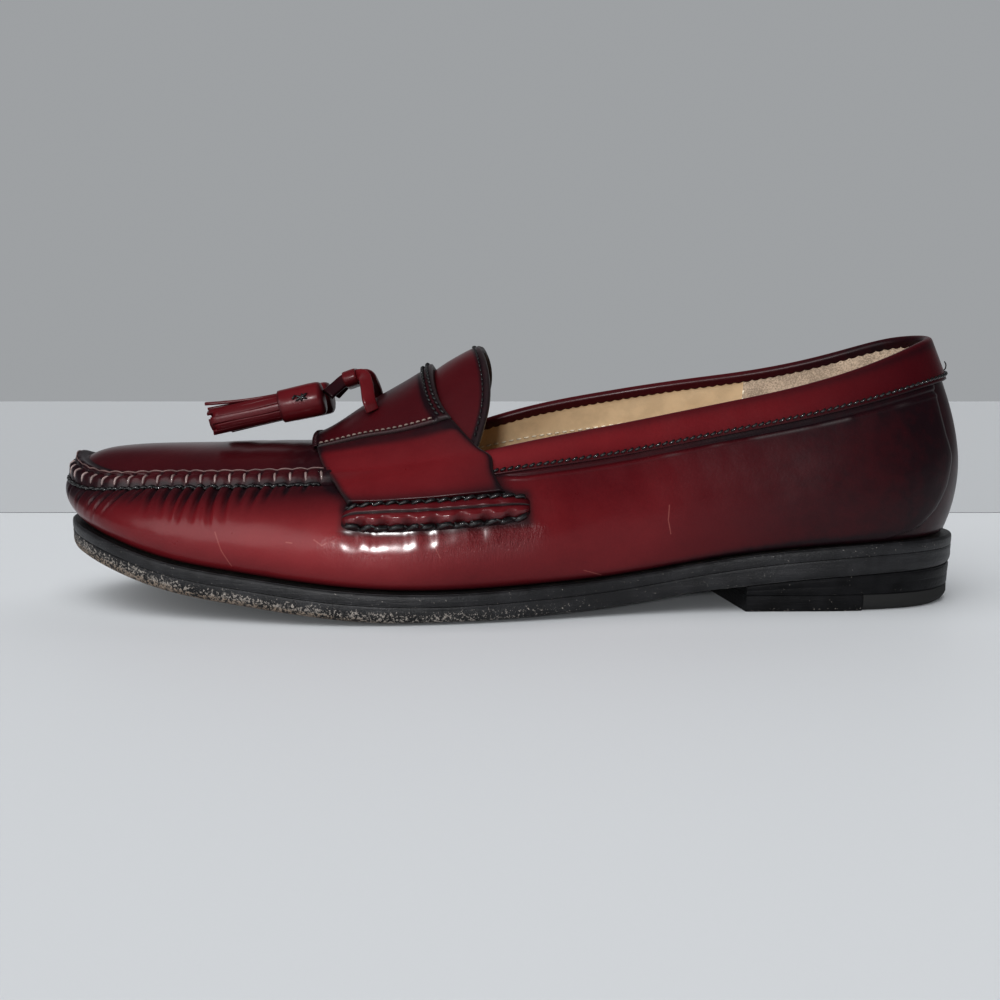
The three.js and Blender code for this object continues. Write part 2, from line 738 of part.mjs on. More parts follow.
function geometryOf(solid) {
  const mesh = solid.getMesh();
  const result = new THREE.BufferGeometry();
  result.setAttribute('position', new THREE.Float32BufferAttribute(mesh.vertProperties, 3));
  result.setIndex([...mesh.triVerts]);
  result.computeVertexNormals();
  return result;
}

function tassel() {
  const core = FRINGE_RADIUS - STRIP_THICK;
  const profile = [
    [0, 0],
    ...CAP_SECTION.map(([radius, length]) => [CAP_RADIUS * radius, -CAP_LENGTH * length]),
    [core, -CAP_LENGTH * CORE_START],
    [core * CORE_TAPER, -TASSEL_LENGTH * CORE_END],
    [0, -TASSEL_LENGTH * CORE_END],
  ].map(([r, z]) => new THREE.Vector2(r, z)).reverse();
  const body = new THREE.LatheGeometry(profile, TASSEL_SIDES).rotateX(Math.PI / 2);
  let solid = solidOf(body);
  const wide = 2 * Math.PI * FRINGE_RADIUS / STRIPS * STRIP_COVER;
  for (let i = 0; i < STRIPS; i += 1) {
    const angle = 2 * Math.PI * i / STRIPS;
    const ragged = STRIP_STAGGER * ((i * STAGGER_JUMP) % STAGGER_STEPS) / STAGGER_STEPS;
    const tip = TASSEL_LENGTH * (1 - ragged);
    const long = tip - CAP_LENGTH * STRIP_START;
    const strip = new THREE.BoxGeometry(2 * STRIP_THICK, wide, long);
    strip.translate(core, 0, -CAP_LENGTH * STRIP_START - long / 2).rotateZ(angle);
    solid = solid.add(solidOf(strip));
  }
  return geometryOf(solid);
}

// A lace along hand-placed points, round in section as a plain stand-in for the flat thong
function lace(route) {
  const path = new THREE.CatmullRomCurve3(route.map((point) => new THREE.Vector3(...point)));
  const section = new THREE.Shape();
  section.absarc(0, 0, LACE_WIDTH / 2, 0, 2 * Math.PI);
  return new THREE.ExtrudeGeometry(section, { extrudePath: path, steps: LACE_STEPS, curveSegments: LACE_SIDES });
}

// Keeper that the two laces are gathered in: an oval band round both
function keeper() {
  const high = LACE_WIDTH / 2 + KNOT_CLEAR;
  const wide = LACE_WIDTH / 2 + KNOT_CLEAR + KNOT_SPREAD;
  const oval = (extra) => {
    const shape = new THREE.Path();
    const flat = wide - high;
    shape.absarc(0, flat, high + extra, 0, Math.PI);
    shape.absarc(0, -flat, high + extra, Math.PI, 2 * Math.PI);
    return shape.getPoints(KNOT_SIDES);
  };
  const band = new THREE.Shape(oval(KNOT_WALL));
  band.holes.push(new THREE.Path(oval(0)));
  const settings = { depth: KNOT_LENGTH, bevelEnabled: false };
  return new THREE.ExtrudeGeometry(band, settings).translate(0, 0, -KNOT_LENGTH / 2);
}

function pointDown(mesh, from, to) {
  const axis = new THREE.Vector3(...to).sub(new THREE.Vector3(...from)).normalize();
  mesh.quaternion.setFromUnitVectors(new THREE.Vector3(0, 0, -1), axis);
  mesh.position.set(...from);
}

const group = new THREE.Group();

function add(name, geometry, look) {
  const mesh = new THREE.Mesh(geometry, new THREE.MeshStandardMaterial(COLOURS[look]));
  mesh.name = name;
  group.add(mesh);
  return mesh;
}

for (const [name, plan] of Object.entries(soleLayers)) add(name, layer(plan), plan.look);
add('upper', thicken(upperSheet(), 0, UPPER_WALL).geometry(), 'leather');
add('tongue', thicken(tongueSheet(), 0, TONGUE_WALL).geometry(), 'leather');

const saddleTop = CURVED_GAP + SADDLE_WALL;
const panel = saddleSheet(panelHeights, PANEL_ROWS);
add('saddle_panel', thicken(panel, saddleTop, SADDLE_WALL).geometry(), 'darkLeather');
for (const [side, word] of [[-1, 'outer'], [1, 'inner']]) {
  const strap = saddleSheet(strapHeights(side), STRAP_ROWS);
  add(`strap_${word}`, thicken(strap, saddleTop, SADDLE_WALL).geometry(), 'leather');
  add(`beef_roll_${word}`, beefRoll(side), 'leather');
  add(`lace_${word}`, lace(LACE_ROUTES[word]), 'darkLeather');
  const hanging = add(`tassel_${word}`, tassel(), 'leather');
  const flip = ([x, y, z]) => [x, -side * y, z];
  pointDown(hanging, flip(TASSEL_TOP), flip(TASSEL_TIP));
}
pointDown(add('lace_knot', keeper(), 'darkLeather'), KNOT_AT, KNOT_TOWARDS);

// The shoe stands with its box centred over the origin
const box = new THREE.Box3().setFromObject(group, true);
const centre = box.getCenter(new THREE.Vector3());
group.position.set(-centre.x, -centre.y, -box.min.z);

export default group;
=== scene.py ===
"""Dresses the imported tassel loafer: leather surfaces, seams, laces, tassels, lining and sole.

The toe points to -X, the heel to +X and the outer side of the foot to -Y. Lengths are in metres.
Every leather piece is worked out on one form, the last, from the sections in LAST_SECTIONS.
"""

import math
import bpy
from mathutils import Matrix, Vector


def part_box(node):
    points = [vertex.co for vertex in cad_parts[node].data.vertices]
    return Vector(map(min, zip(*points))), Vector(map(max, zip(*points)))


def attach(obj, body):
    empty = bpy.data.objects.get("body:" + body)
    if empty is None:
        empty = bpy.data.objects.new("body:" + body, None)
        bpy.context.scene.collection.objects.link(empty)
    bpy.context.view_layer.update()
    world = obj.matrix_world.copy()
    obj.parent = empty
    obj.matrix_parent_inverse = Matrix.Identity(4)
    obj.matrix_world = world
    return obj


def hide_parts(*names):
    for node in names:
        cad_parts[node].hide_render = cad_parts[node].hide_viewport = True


bl_info = {
    "name": "Tassel Loafer",
    "version": (1, 0, 0),
    "blender": (4, 5, 0),
    "location": "View3D > Sidebar > Loafer",
    "description": "Leather, seams, laces, tassels, lining and sole of a tassel loafer",
    "category": "Add Mesh",
}

import bpy
import mathutils
import numpy as np

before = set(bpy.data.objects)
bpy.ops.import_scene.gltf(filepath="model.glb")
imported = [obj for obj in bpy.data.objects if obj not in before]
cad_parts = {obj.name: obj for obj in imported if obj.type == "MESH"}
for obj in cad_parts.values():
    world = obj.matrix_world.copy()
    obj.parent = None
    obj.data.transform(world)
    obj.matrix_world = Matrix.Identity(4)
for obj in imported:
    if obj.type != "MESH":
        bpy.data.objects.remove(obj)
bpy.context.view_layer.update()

MM = 0.001
TURN = 2 * np.pi
SIDES = ((-1, "outer"), (1, "inner"))

# Once round the last from the toe by the outer side to the heel and back by the inner side. along
# is a share of the length, across, belly_out, shoulder_out and inset of the ball width, ledge of the
# ledge's width, rise of the instep height, belly_up and shoulder_up of the wall's own height.
LAST_SECTIONS = (
    # along, across, ledge, belly_out, belly_up, shoulder_out, shoulder_up, inset, rise
    (-0.497, 0.024, 1.0, 0.059, 0.35, 0.059, 0.80, 0.022, 0.221),  # toe
    (-0.465, -0.190, 1.0, 0.063, 0.35, 0.073, 0.82, 0.059, 0.196),
    (-0.397, -0.345, 1.0, 0.063, 0.38, 0.103, 0.86, 0.140, 0.263),
    (-0.302, -0.435, 1.0, 0.063, 0.40, 0.122, 0.90, 0.166, 0.341),
    (-0.195, -0.493, 1.0, 0.059, 0.40, 0.137, 0.90, 0.195, 0.406),  # outer ball
    (-0.094, -0.493, 1.0, 0.054, 0.38, 0.132, 0.84, 0.181, 0.479),
    (0.027, -0.430, 0.9, 0.059, 0.35, 0.078, 0.74, 0.112, 0.573),
    (0.151, -0.347, 0.7, 0.054, 0.35, 0.044, 0.70, 0.068, 0.624),
    (0.268, -0.317, 0.6, 0.049, 0.35, 0.044, 0.70, 0.073, 0.652),
    (0.376, -0.303, 0.6, 0.044, 0.35, 0.059, 0.68, 0.098, 0.733),
    (0.460, -0.210, 0.6, 0.064, 0.35, 0.070, 0.66, 0.100, 0.827),
    (0.498, 0.000, 0.7, 0.098, 0.35, 0.086, 0.66, 0.096, 0.866),  # heel
    (0.461, 0.200, 0.6, 0.064, 0.35, 0.070, 0.66, 0.092, 0.865),
    (0.376, 0.293, 0.6, 0.044, 0.35, 0.059, 0.68, 0.088, 0.797),
    (0.268, 0.298, 0.6, 0.063, 0.35, 0.054, 0.70, 0.049, 0.748),
    (0.151, 0.288, 0.3, 0.093, 0.35, 0.063, 0.70, 0.015, 0.750),
    (0.027, 0.352, 0.7, 0.083, 0.35, 0.088, 0.74, 0.044, 0.698),
    (-0.094, 0.454, 1.0, 0.063, 0.38, 0.127, 0.84, 0.142, 0.543),
    (-0.195, 0.498, 1.0, 0.059, 0.40, 0.137, 0.90, 0.190, 0.404),  # inner ball
    (-0.302, 0.464, 1.0, 0.063, 0.40, 0.122, 0.90, 0.171, 0.325),
    (-0.394, 0.391, 1.0, 0.063, 0.38, 0.103, 0.86, 0.150, 0.250),
    (-0.465, 0.239, 1.0, 0.063, 0.35, 0.073, 0.82, 0.085, 0.198),
)
HEEL_ROW = 11

# Walking face of the sole at its centre: shares of the length, the toe spring and the heel's rise
SOLE_LINE = (
    # along, spring, heel
    (-0.503, 1.000, 0.00),
    (-0.440, 0.788, 0.00),
    (-0.356, 0.446, 0.00),
    (-0.268, 0.245, 0.00),
    (-0.168, 0.065, 0.00),
    (-0.084, 0.000, 0.00),
    (0.017, 0.000, 0.06),
    (0.117, 0.000, 0.23),
    (0.228, 0.000, 0.61),
    (0.309, 0.000, 0.82),
    (0.403, 0.000, 0.96),
    (0.503, 0.000, 1.00),
)

# Crown of the plug and of the arch under the saddle: shares of the length and instep height
CROWN = (
    # along, rise
    (-0.497, 0.217),
    (-0.470, 0.299),
    (-0.436, 0.359),
    (-0.386, 0.421),
    (-0.302, 0.492),
    (-0.235, 0.526),
    (-0.215, 0.542),
    (-0.195, 0.586),
    (-0.168, 0.665),
    (-0.148, 0.721),
    (-0.121, 0.786),
    (-0.094, 0.856),
    (-0.067, 0.928),
    (-0.034, 0.991),
    (0.000, 1.046),
)
CROWN_FULLNESS = 2.2

# Edges of the pieces. A place is a share of the way from toe to heel along the sole's edge.
PLUG_END = 0.372
BREAST = 0.732
BREAST_SKEW = 0.022
RUBBER_EDGE = 0.842

# Front and rear edge of the saddle at heights over the arch: 0 crown, 1 top line, 2 strap foot
SADDLE = (
    # height, front, rear
    (0.0, 0.309, 0.441),
    (0.5, 0.314, 0.445),
    (0.8, 0.322, 0.461),
    (1.0, 0.331, 0.486),
    (1.5, 0.347, 0.497),
    (2.0, 0.362, 0.505),
)
STRAP_FOOT = 0.64

# Seam between panel and straps, front to rear, and the tongue's free edge over the arch
PANEL_SEAM = (
    # progress, height
    (0.0, 0.63),
    (0.3, 0.70),
    (0.6, 0.765),
    (1.0, 0.81),
)
TONGUE_EDGE = (
    # height, place
    (0.00, 0.485),
    (0.41, 0.492),
    (0.63, 0.496),
    (0.80, 0.495),
    (1.00, 0.484),
)
ROLL = {"front": 0.357, "rear": 0.527, "low": 0.43, "high": 0.626}

# Routes of the laces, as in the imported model
LACE_ROUTES = {
    "outer": (
        (-44.5, -15.7, 62.35), (-45.5, -16.2, 65.5), (-46.9, -11.4, 71.0), (-48.8, -5.9, 73.6),
        (-51.4, -3.8, 73.4), (-54.8, -3.7, 72.2), (-57.6, -5.2, 69.8), (-60.2, -7.2, 67.4),
    ),
    "inner": (
        (-45.8, 16.3, 63.5), (-46.6, 16.3, 66.7), (-47.7, 11.6, 71.5), (-49.0, 5.9, 73.8),
        (-51.4, 3.8, 73.4), (-54.8, 3.7, 72.2), (-57.6, 5.2, 69.8), (-60.2, 7.2, 67.4),
    ),
}
TASSEL_TOP = (-61.3, -7.7, 66.6)
TASSEL_TIP = (-97.0, -9.6, 58.8)
KNOT_AT = (-53.1, 0.0, 72.8)
KNOT_TOWARDS = (-60.0, 0.0, 70.4)

# Seam between the quarters and the backstay: height on the wall, place
HEEL_SEAM = (
    # height, place
    (0.00, 0.840),
    (0.02, 0.873),
    (0.06, 0.902),
    (0.15, 0.922),
    (0.26, 0.937),
    (0.41, 0.947),
    (0.54, 0.939),
    (0.65, 0.937),
    (0.77, 0.937),
    (1.00, 0.950),
)
SEAM_END = 0.94
QUARTER_START = 0.70
STRAP_PLACE = 0.355

# Folds in the vamp below the moc seam: place, reach and lean in mm, depth and half width in mm
PUCKERS = (
    # place, reach, lean, depth, width
    (0.048, 8.0, 1.5, 0.22, 0.7),
    (0.074, 9.0, 2.5, 0.26, 0.7),
    (0.098, 11.0, 4.0, 0.34, 0.7),
    (0.112, 14.0, 6.0, 0.38, 0.6),
    (0.128, 13.0, 5.5, 0.38, 0.7),
    (0.146, 10.0, 2.0, 0.30, 0.6),
    (0.160, 13.0, -1.5, 0.40, 0.8),
    (0.176, 14.0, -2.0, 0.40, 0.7),
    (0.190, 15.0, -1.0, 0.42, 0.7),
    (0.202, 17.0, 0.5, 0.50, 0.7),
    (0.214, 17.0, -0.5, 0.55, 0.7),
    (0.227, 19.0, -2.5, 0.55, 0.8),
    (0.241, 17.0, -2.0, 0.48, 0.7),
    (0.254, 12.0, -1.0, 0.36, 0.7),
    (0.269, 13.0, 0.5, 0.42, 0.7),
    (0.281, 11.0, 0.5, 0.34, 0.7),
    (0.297, 8.0, 0.0, 0.26, 0.7),
    (0.314, 6.0, 0.0, 0.22, 0.7),
)
PUCKER_SHIFT = 0.006
PUCKER_DEPTH = 1.7
PUCKER_BREADTH = 1.25
EDGE_RATIO = 1.11
TUCK_PITCH = 1.9

# Scratches seen on the outer side, in mm: from, to and half width
SCRATCHES = (
    # x, z, x, z, width
    (-88.4, 27.0, -86.4, 21.5, 0.28),
    (-86.4, 21.5, -83.6, 16.8, 0.24),
    (-66.3, 24.6, -64.6, 24.4, 0.30),
    (-58.0, 25.4, -55.6, 23.8, 0.30),
    (-55.6, 23.8, -54.2, 24.6, 0.26),
    (-53.0, 24.9, -51.8, 24.3, 0.26),
    (48.3, 34.0, 48.0, 29.5, 0.30),
    (48.0, 29.5, 48.9, 25.2, 0.26),
    (-24.0, 26.0, -21.0, 20.0, 0.22),
    (22.0, 14.6, 27.5, 12.8, 0.20),
    (96.0, 18.0, 99.5, 17.0, 0.22),
    (-6.0, 57.0, 2.0, 57.6, 0.20),
)

# Soft creases of the plug in mm: along, across, half length across, half width, depth
PLUG_CREASES = (
    # along, across, long, wide, depth
    (-66.0, -22.0, 9.0, 1.6, 0.30),
    (-70.5, -18.0, 8.0, 1.4, 0.22),
    (-67.0, 20.0, 9.0, 1.7, 0.25),
    (-84.0, -6.0, 16.0, 3.0, 0.18),
    (-96.0, 8.0, 14.0, 3.0, 0.14),
)
CREASE_SLANT = 0.35

# Section of a beef roll from its lower edge up: share of the height, level in mm
ROLL_SECTION = (
    (0.0, 0.04, 0.09, 0.16, 0.25, 0.36, 0.47, 0.55, 0.580, 0.595, 0.64, 0.76, 0.85, 0.93, 1.0),
    (0.5, 0.9, 1.9, 3.3, 4.3, 4.8, 4.6, 3.9, 3.4, 4.3, 4.5, 4.4, 3.7, 2.8, 2.4),
)

# Rows of stitches: distance, radius, share of the distance, slant and lift as stitch_row takes them
MOC_FOOT_SEAMS = (
    (2.7 * MM, 0.50 * MM, 1.1, 0.34, 0.15),
    (1.7 * MM, 0.36 * MM, 1.1, -0.6, 0.25),
    (2.2 * MM, 0.30 * MM, 1.1, 0.5, 0.45),
)
COLLAR_SEAM = (0.44 * MM, 0.98, 0.42, 0.5)
LINING_THREAD_SEAM = (2.9 * MM, 0.30 * MM, 0.72, 0.0, 0.5)
TONGUE_SEAM = (2.0 * MM, 0.30 * MM, 0.8, 0.0, 0.5)
PANEL_SIDE_SEAM = (1.9 * MM, 0.32 * MM, 0.82, 0.0, 0.5)
PANEL_REAR_SEAM = (2.1 * MM, 0.40 * MM, 0.98, 0.35, 0.5)
ROLL_SEAMS = (
    # row of the roll, columns left free at its ends, then a row of stitches
    (6, 4, (5.2 * MM, 0.78 * MM, 1.06, 0.22, 0.25)),
    (7, 6, (2.9 * MM, 0.42 * MM, 1.06, -0.45, 0.25)),
    (47, 6, (3.9 * MM, 0.66 * MM, 1.06, 0.26, 0.25)),
    (49, 5, (2.6 * MM, 0.40 * MM, 1.06, -0.40, 0.25)),
)
# How far those seams lie in from their pieces' edges
COLLAR_IN = 1.7 * MM
LINING_IN = 10.8 * MM
TONGUE_IN = 2.0 * MM
PANEL_SIDE_IN = 1.0 * MM
PANEL_REAR_IN = (1.0 * MM, 3.2 * MM)

# Clear coat on each thread and on the raw rim of the gathered seam
THREAD_WAX = {
    "black_thread": 0.5,
    "moc_thread": 0.7,
    "raw_rim": 0.2,
    "pale_thread": 0.2,
    "lining_thread": 0.0,
}

# Rows and columns of the saddle's centre panel
PANEL_GRID = (80, 130)
# Columns of the vamp and quarters on each side, as far as the strap's front edge and behind it
UPPER_COLUMNS = (184, 104)
# Rows of the vamp and quarters: heights of the wall, and how many rows go up from each
WALL_ROWS = (
    # height, rows
    (0.00, 36),
    (0.715, 16),
    (0.785, 16),
    (1.00, 0),
)
# Gathers of a beef roll in mm: its lower roll, and the flap's edge over it
PUFF_PITCH = 7.0
FLAP_PITCH = 3.7
RIDGE_FOOT = 4.0 * MM
RIDGE_STAND = 0.6
RIDGE_CLOSE = 0.329
RIM_DROP = 0.026
BAND_FOOT = 0.77
BAND_START = 0.47
BAND_COLUMNS = 330
BAND_LEATHER = 0.62 * MM
BAND_TUCK = 0.25 * MM
WALL_RUN = 58 * MM
LINING_SEAM = 0.775
# Loose end of the collar's thread at the heel: steps in mm from the last stitch
LOOSE_THREAD = ((0.6, -1.6, 0.9), (0.3, -2.6, 2.4), (-0.5, -3.0, 3.4))
TASSEL_LOOSE = 3
LACE_SWELL = 1.25
LACE_THICK = 1.8 * MM
# Keeper: half the distance between its two round sides, height for width, and thickness
KEEPER_SPREAD = 0.62 * 3.9 * MM
KEEPER_FLATNESS = 0.62
KEEPER_WALL = 1.7 * MM
# Section of a tassel's cap from the lace down: share of its length, share of its radius
CAP_SECTION = (
    (0.0, 0.0, 0.02, 0.06, 0.12, 0.3, 0.55, 0.8, 0.93, 0.985, 1.0, 1.0, 0.97, 0.97),
    (0.0, 0.72, 0.86, 0.95, 0.99, 1.0, 0.985, 0.97, 0.965, 0.95, 0.91, 0.80, 0.78, 0.0),
)
CAP_SIDES = 64
# Cross-stitch of the cap: start and end of each thread, along in mm and round in radians
CAP_STITCHES = (
    ((4.2, 0.0), (8.8, 0.34)),
    ((4.6, 0.32), (8.6, 0.02)),
    ((6.0, -0.05), (6.8, 0.42)),
    ((8.2, -0.02), (9.6, 0.20)),
)
# Layers of a fringe: number in from outside, strips, and place out from the core in mm
FRINGE_LAYERS = (
    (0, 12, 0.0),
    (1, 11, -1.2),
)
BALL_FLAT = 0.35 * MM
EDGE_LIFT = 0.8 * MM
EDGE_SHARE = 0.85
CORE_HEIGHT = 20 * MM
MERGE = 1e-7

# Camera in the last's own frame, in mm and degrees
CAMERA_AT = (-3.55, -338.0, 70.5)
CAMERA_DOWN = 6.56
CAMERA_LENS = 36
CAMERA_NEAR = 10 * MM

# A small hard light beside the camera, a broad one beside it, and soft ones above and behind that
# leave no reflection
LAMPS = (
    # name, where it shines from, power, spread in degrees, seen in gloss
    ("flash", (-0.10, -1.30, 0.33), 1.32, 5.7, True),
    ("side_fill", (-0.80, -0.95, 0.39), 0.85, 42, True),
    ("ceiling", (-0.25, -0.30, 0.97), 2.05, 70, False),
    ("back_fill", (0.35, 1.00, 0.55), 0.55, 60, False),
)
# Edges of the floor's strips from the camera's side back, and each strip's finish
FLOOR_REACH = 4.0
FLOOR_STRIPS = (-FLOOR_REACH, 0.213, 0.2155, FLOOR_REACH)
FLOOR_PAINTS = (
    # name, share of the floor's colour, roughness, gloss
    ("floor_paint", 1.0, 0.5, 0.12),
    ("joint_paint", 0.25, 0.6, 0.0),
    ("wall_paint", 0.76, 0.6, 0.0),
)
# The world is pale behind the shoe, as by a pale wall, and dark above and on the camera's side
PALE_SIDE = (0.0, 1.0, -0.2)
PALE_FROM = 0.30
PALE_BY = 0.82
WORLD_PALE = (0.315, 0.325, 0.335, 1.0)
WORLD_DARK = (0.05, 0.05, 0.053, 1.0)


# Numbers and curves

def smooth(u):
    """Smoothstep: 0 below 0, 1 above 1, three times the square less twice the cube between."""
    u = np.clip(u, 0.0, 1.0)
    return u * u * (3.0 - 2.0 * u)


def ramp(value, start, span):
    """Smoothstep of a value from start over a span."""
    return smooth((value - start) / span)


def slope(length, start, span):
    """Smoothstep of a length from start over a span, both in millimetres."""
    return ramp(length, start * MM, span * MM)


def crests(angle, power=1):
    """Waves of a cosine from 0 to 1, made narrower by a power."""
    return (0.5 + 0.5 * np.cos(angle)) ** power


def hump(distance, width):
    """Bell curve of a distance: e to the minus square of distance over width."""
    return np.exp(-np.square(distance / width))


def by_row(start, end, count):
    """Even steps that belong to the rows of a grid."""
    return np.linspace(start, end, count)[:, None]


def by_column(start, end, count):
    """Even steps that belong to the columns of a grid."""
    return np.linspace(start, end, count)[None, :]


def bell(length, middle, width):
    """Bell curve of a length about a middle, both that and the width in millimetres."""
    return hump(length - middle * MM, width * MM)


def unit(vectors):
    """Vectors divided by their own lengths."""
    size = np.linalg.norm(vectors, axis=-1, keepdims=True)
    return vectors / np.where(size > 0, size, 1.0)


def table_curve(rows, column=1):
    """Straight lines between the rows of a short table, as a function of its first column."""
    rows = np.array(rows)
    return lambda at: np.interp(at, rows[:, 0], rows[:, column])


def table_spline(rows, column=1):
    """Smooth curve through the rows of a short table, as a function of its first column."""
    rows = np.array(rows)
    return spline(rows[:, 0], rows[:, column])


def softened(points, reach, axis=1):
    """A grid with its kinks rounded along one axis: each point's mean with its neighbours, repeated."""
    points = np.moveaxis(points, axis, 0).copy()
    for _ in range(reach * reach * 2):
        points[1:-1] = 0.25 * points[:-2] + 0.5 * points[1:-1] + 0.25 * points[2:]
    return np.moveaxis(points, 0, axis)


def spline(knots, values, period=None):
    """Cubic spline with continuous second derivative, free at its ends or closed over a period."""
    knots = np.asarray(knots, float)
    values = np.asarray(values, float)
    count = len(knots)
    closed = period is not None
    ends = np.append(knots, knots[0] + period) if closed else knots
    steps = np.diff(ends)
    matrix = np.eye(count)
    right = np.zeros(values.shape)
    for row in range(0 if closed else 1, count if closed else count - 1):
        before, after = steps[row - 1], steps[row]
        following = (row + 1) % count
        matrix[row, row] = 2 * (before + after)
        matrix[row, row - 1] = before
        matrix[row, following] = after
        slopes = (values[following] - values[row]) / after - (values[row] - values[row - 1]) / before
        right[row] = 6 * slopes
    bend = np.linalg.solve(matrix, right)

    def at(x):
        """Value at x: a straight share of both knots, plus each bend by its share cubed less itself."""
        x = np.asarray(x, float)
        x = np.mod(x - knots[0], period) + knots[0] if closed else np.clip(x, knots[0], knots[-1])
        row = np.clip(np.searchsorted(ends, x, side="right") - 1, 0, len(steps) - 1)
        following = (row + 1) % count
        step = steps[row]
        u = (x - ends[row]) / step
        w = 1 - u
        if values.ndim > 1:
            step, u, w = step[..., None], u[..., None], w[..., None]
        curved = (w ** 3 - w) * bend[row] + (u ** 3 - u) * bend[following]
        return w * values[row] + u * values[following] + curved * step * step / 6

    return at


def normals_of(points):
    """Unit normals of a grid, its columns' slope crossed with its rows', away from the shoe's core."""
    normals = unit(np.cross(np.gradient(points, axis=1), np.gradient(points, axis=0)))
    core = points * (1.0, 0.0, 0.0) + (0.0, 0.0, CORE_HEIGHT)
    return normals * np.sign(np.sum(normals * (points - core)))


def along_line(at, run, values):
    """Vectors of a line's points at any distances along it."""
    return np.stack([np.interp(at, run, values[:, axis]) for axis in range(3)], -1)


def run_along(points, axis=0):
    """Distance run along one axis of an array of points: the sum of its steps."""
    steps = np.linalg.norm(np.diff(points, axis=axis), axis=-1)
    zero = np.zeros_like(np.take(steps, [0], axis=axis))
    return np.concatenate([zero, np.cumsum(steps, axis=axis)], axis=axis)


def ripple(points, seed, scale, count=7):
    """Soft unevenness of about plus or minus 1: a sum of seeded sine waves of about one length."""
    rng = np.random.default_rng(seed)
    total = np.zeros(points.shape[:-1])
    for _ in range(count):
        way = unit(rng.normal(size=3)) * TURN / (scale * rng.uniform(0.6, 1.6))
        total += np.sin(points @ way + rng.uniform(0, TURN))
    return total / math.sqrt(count)


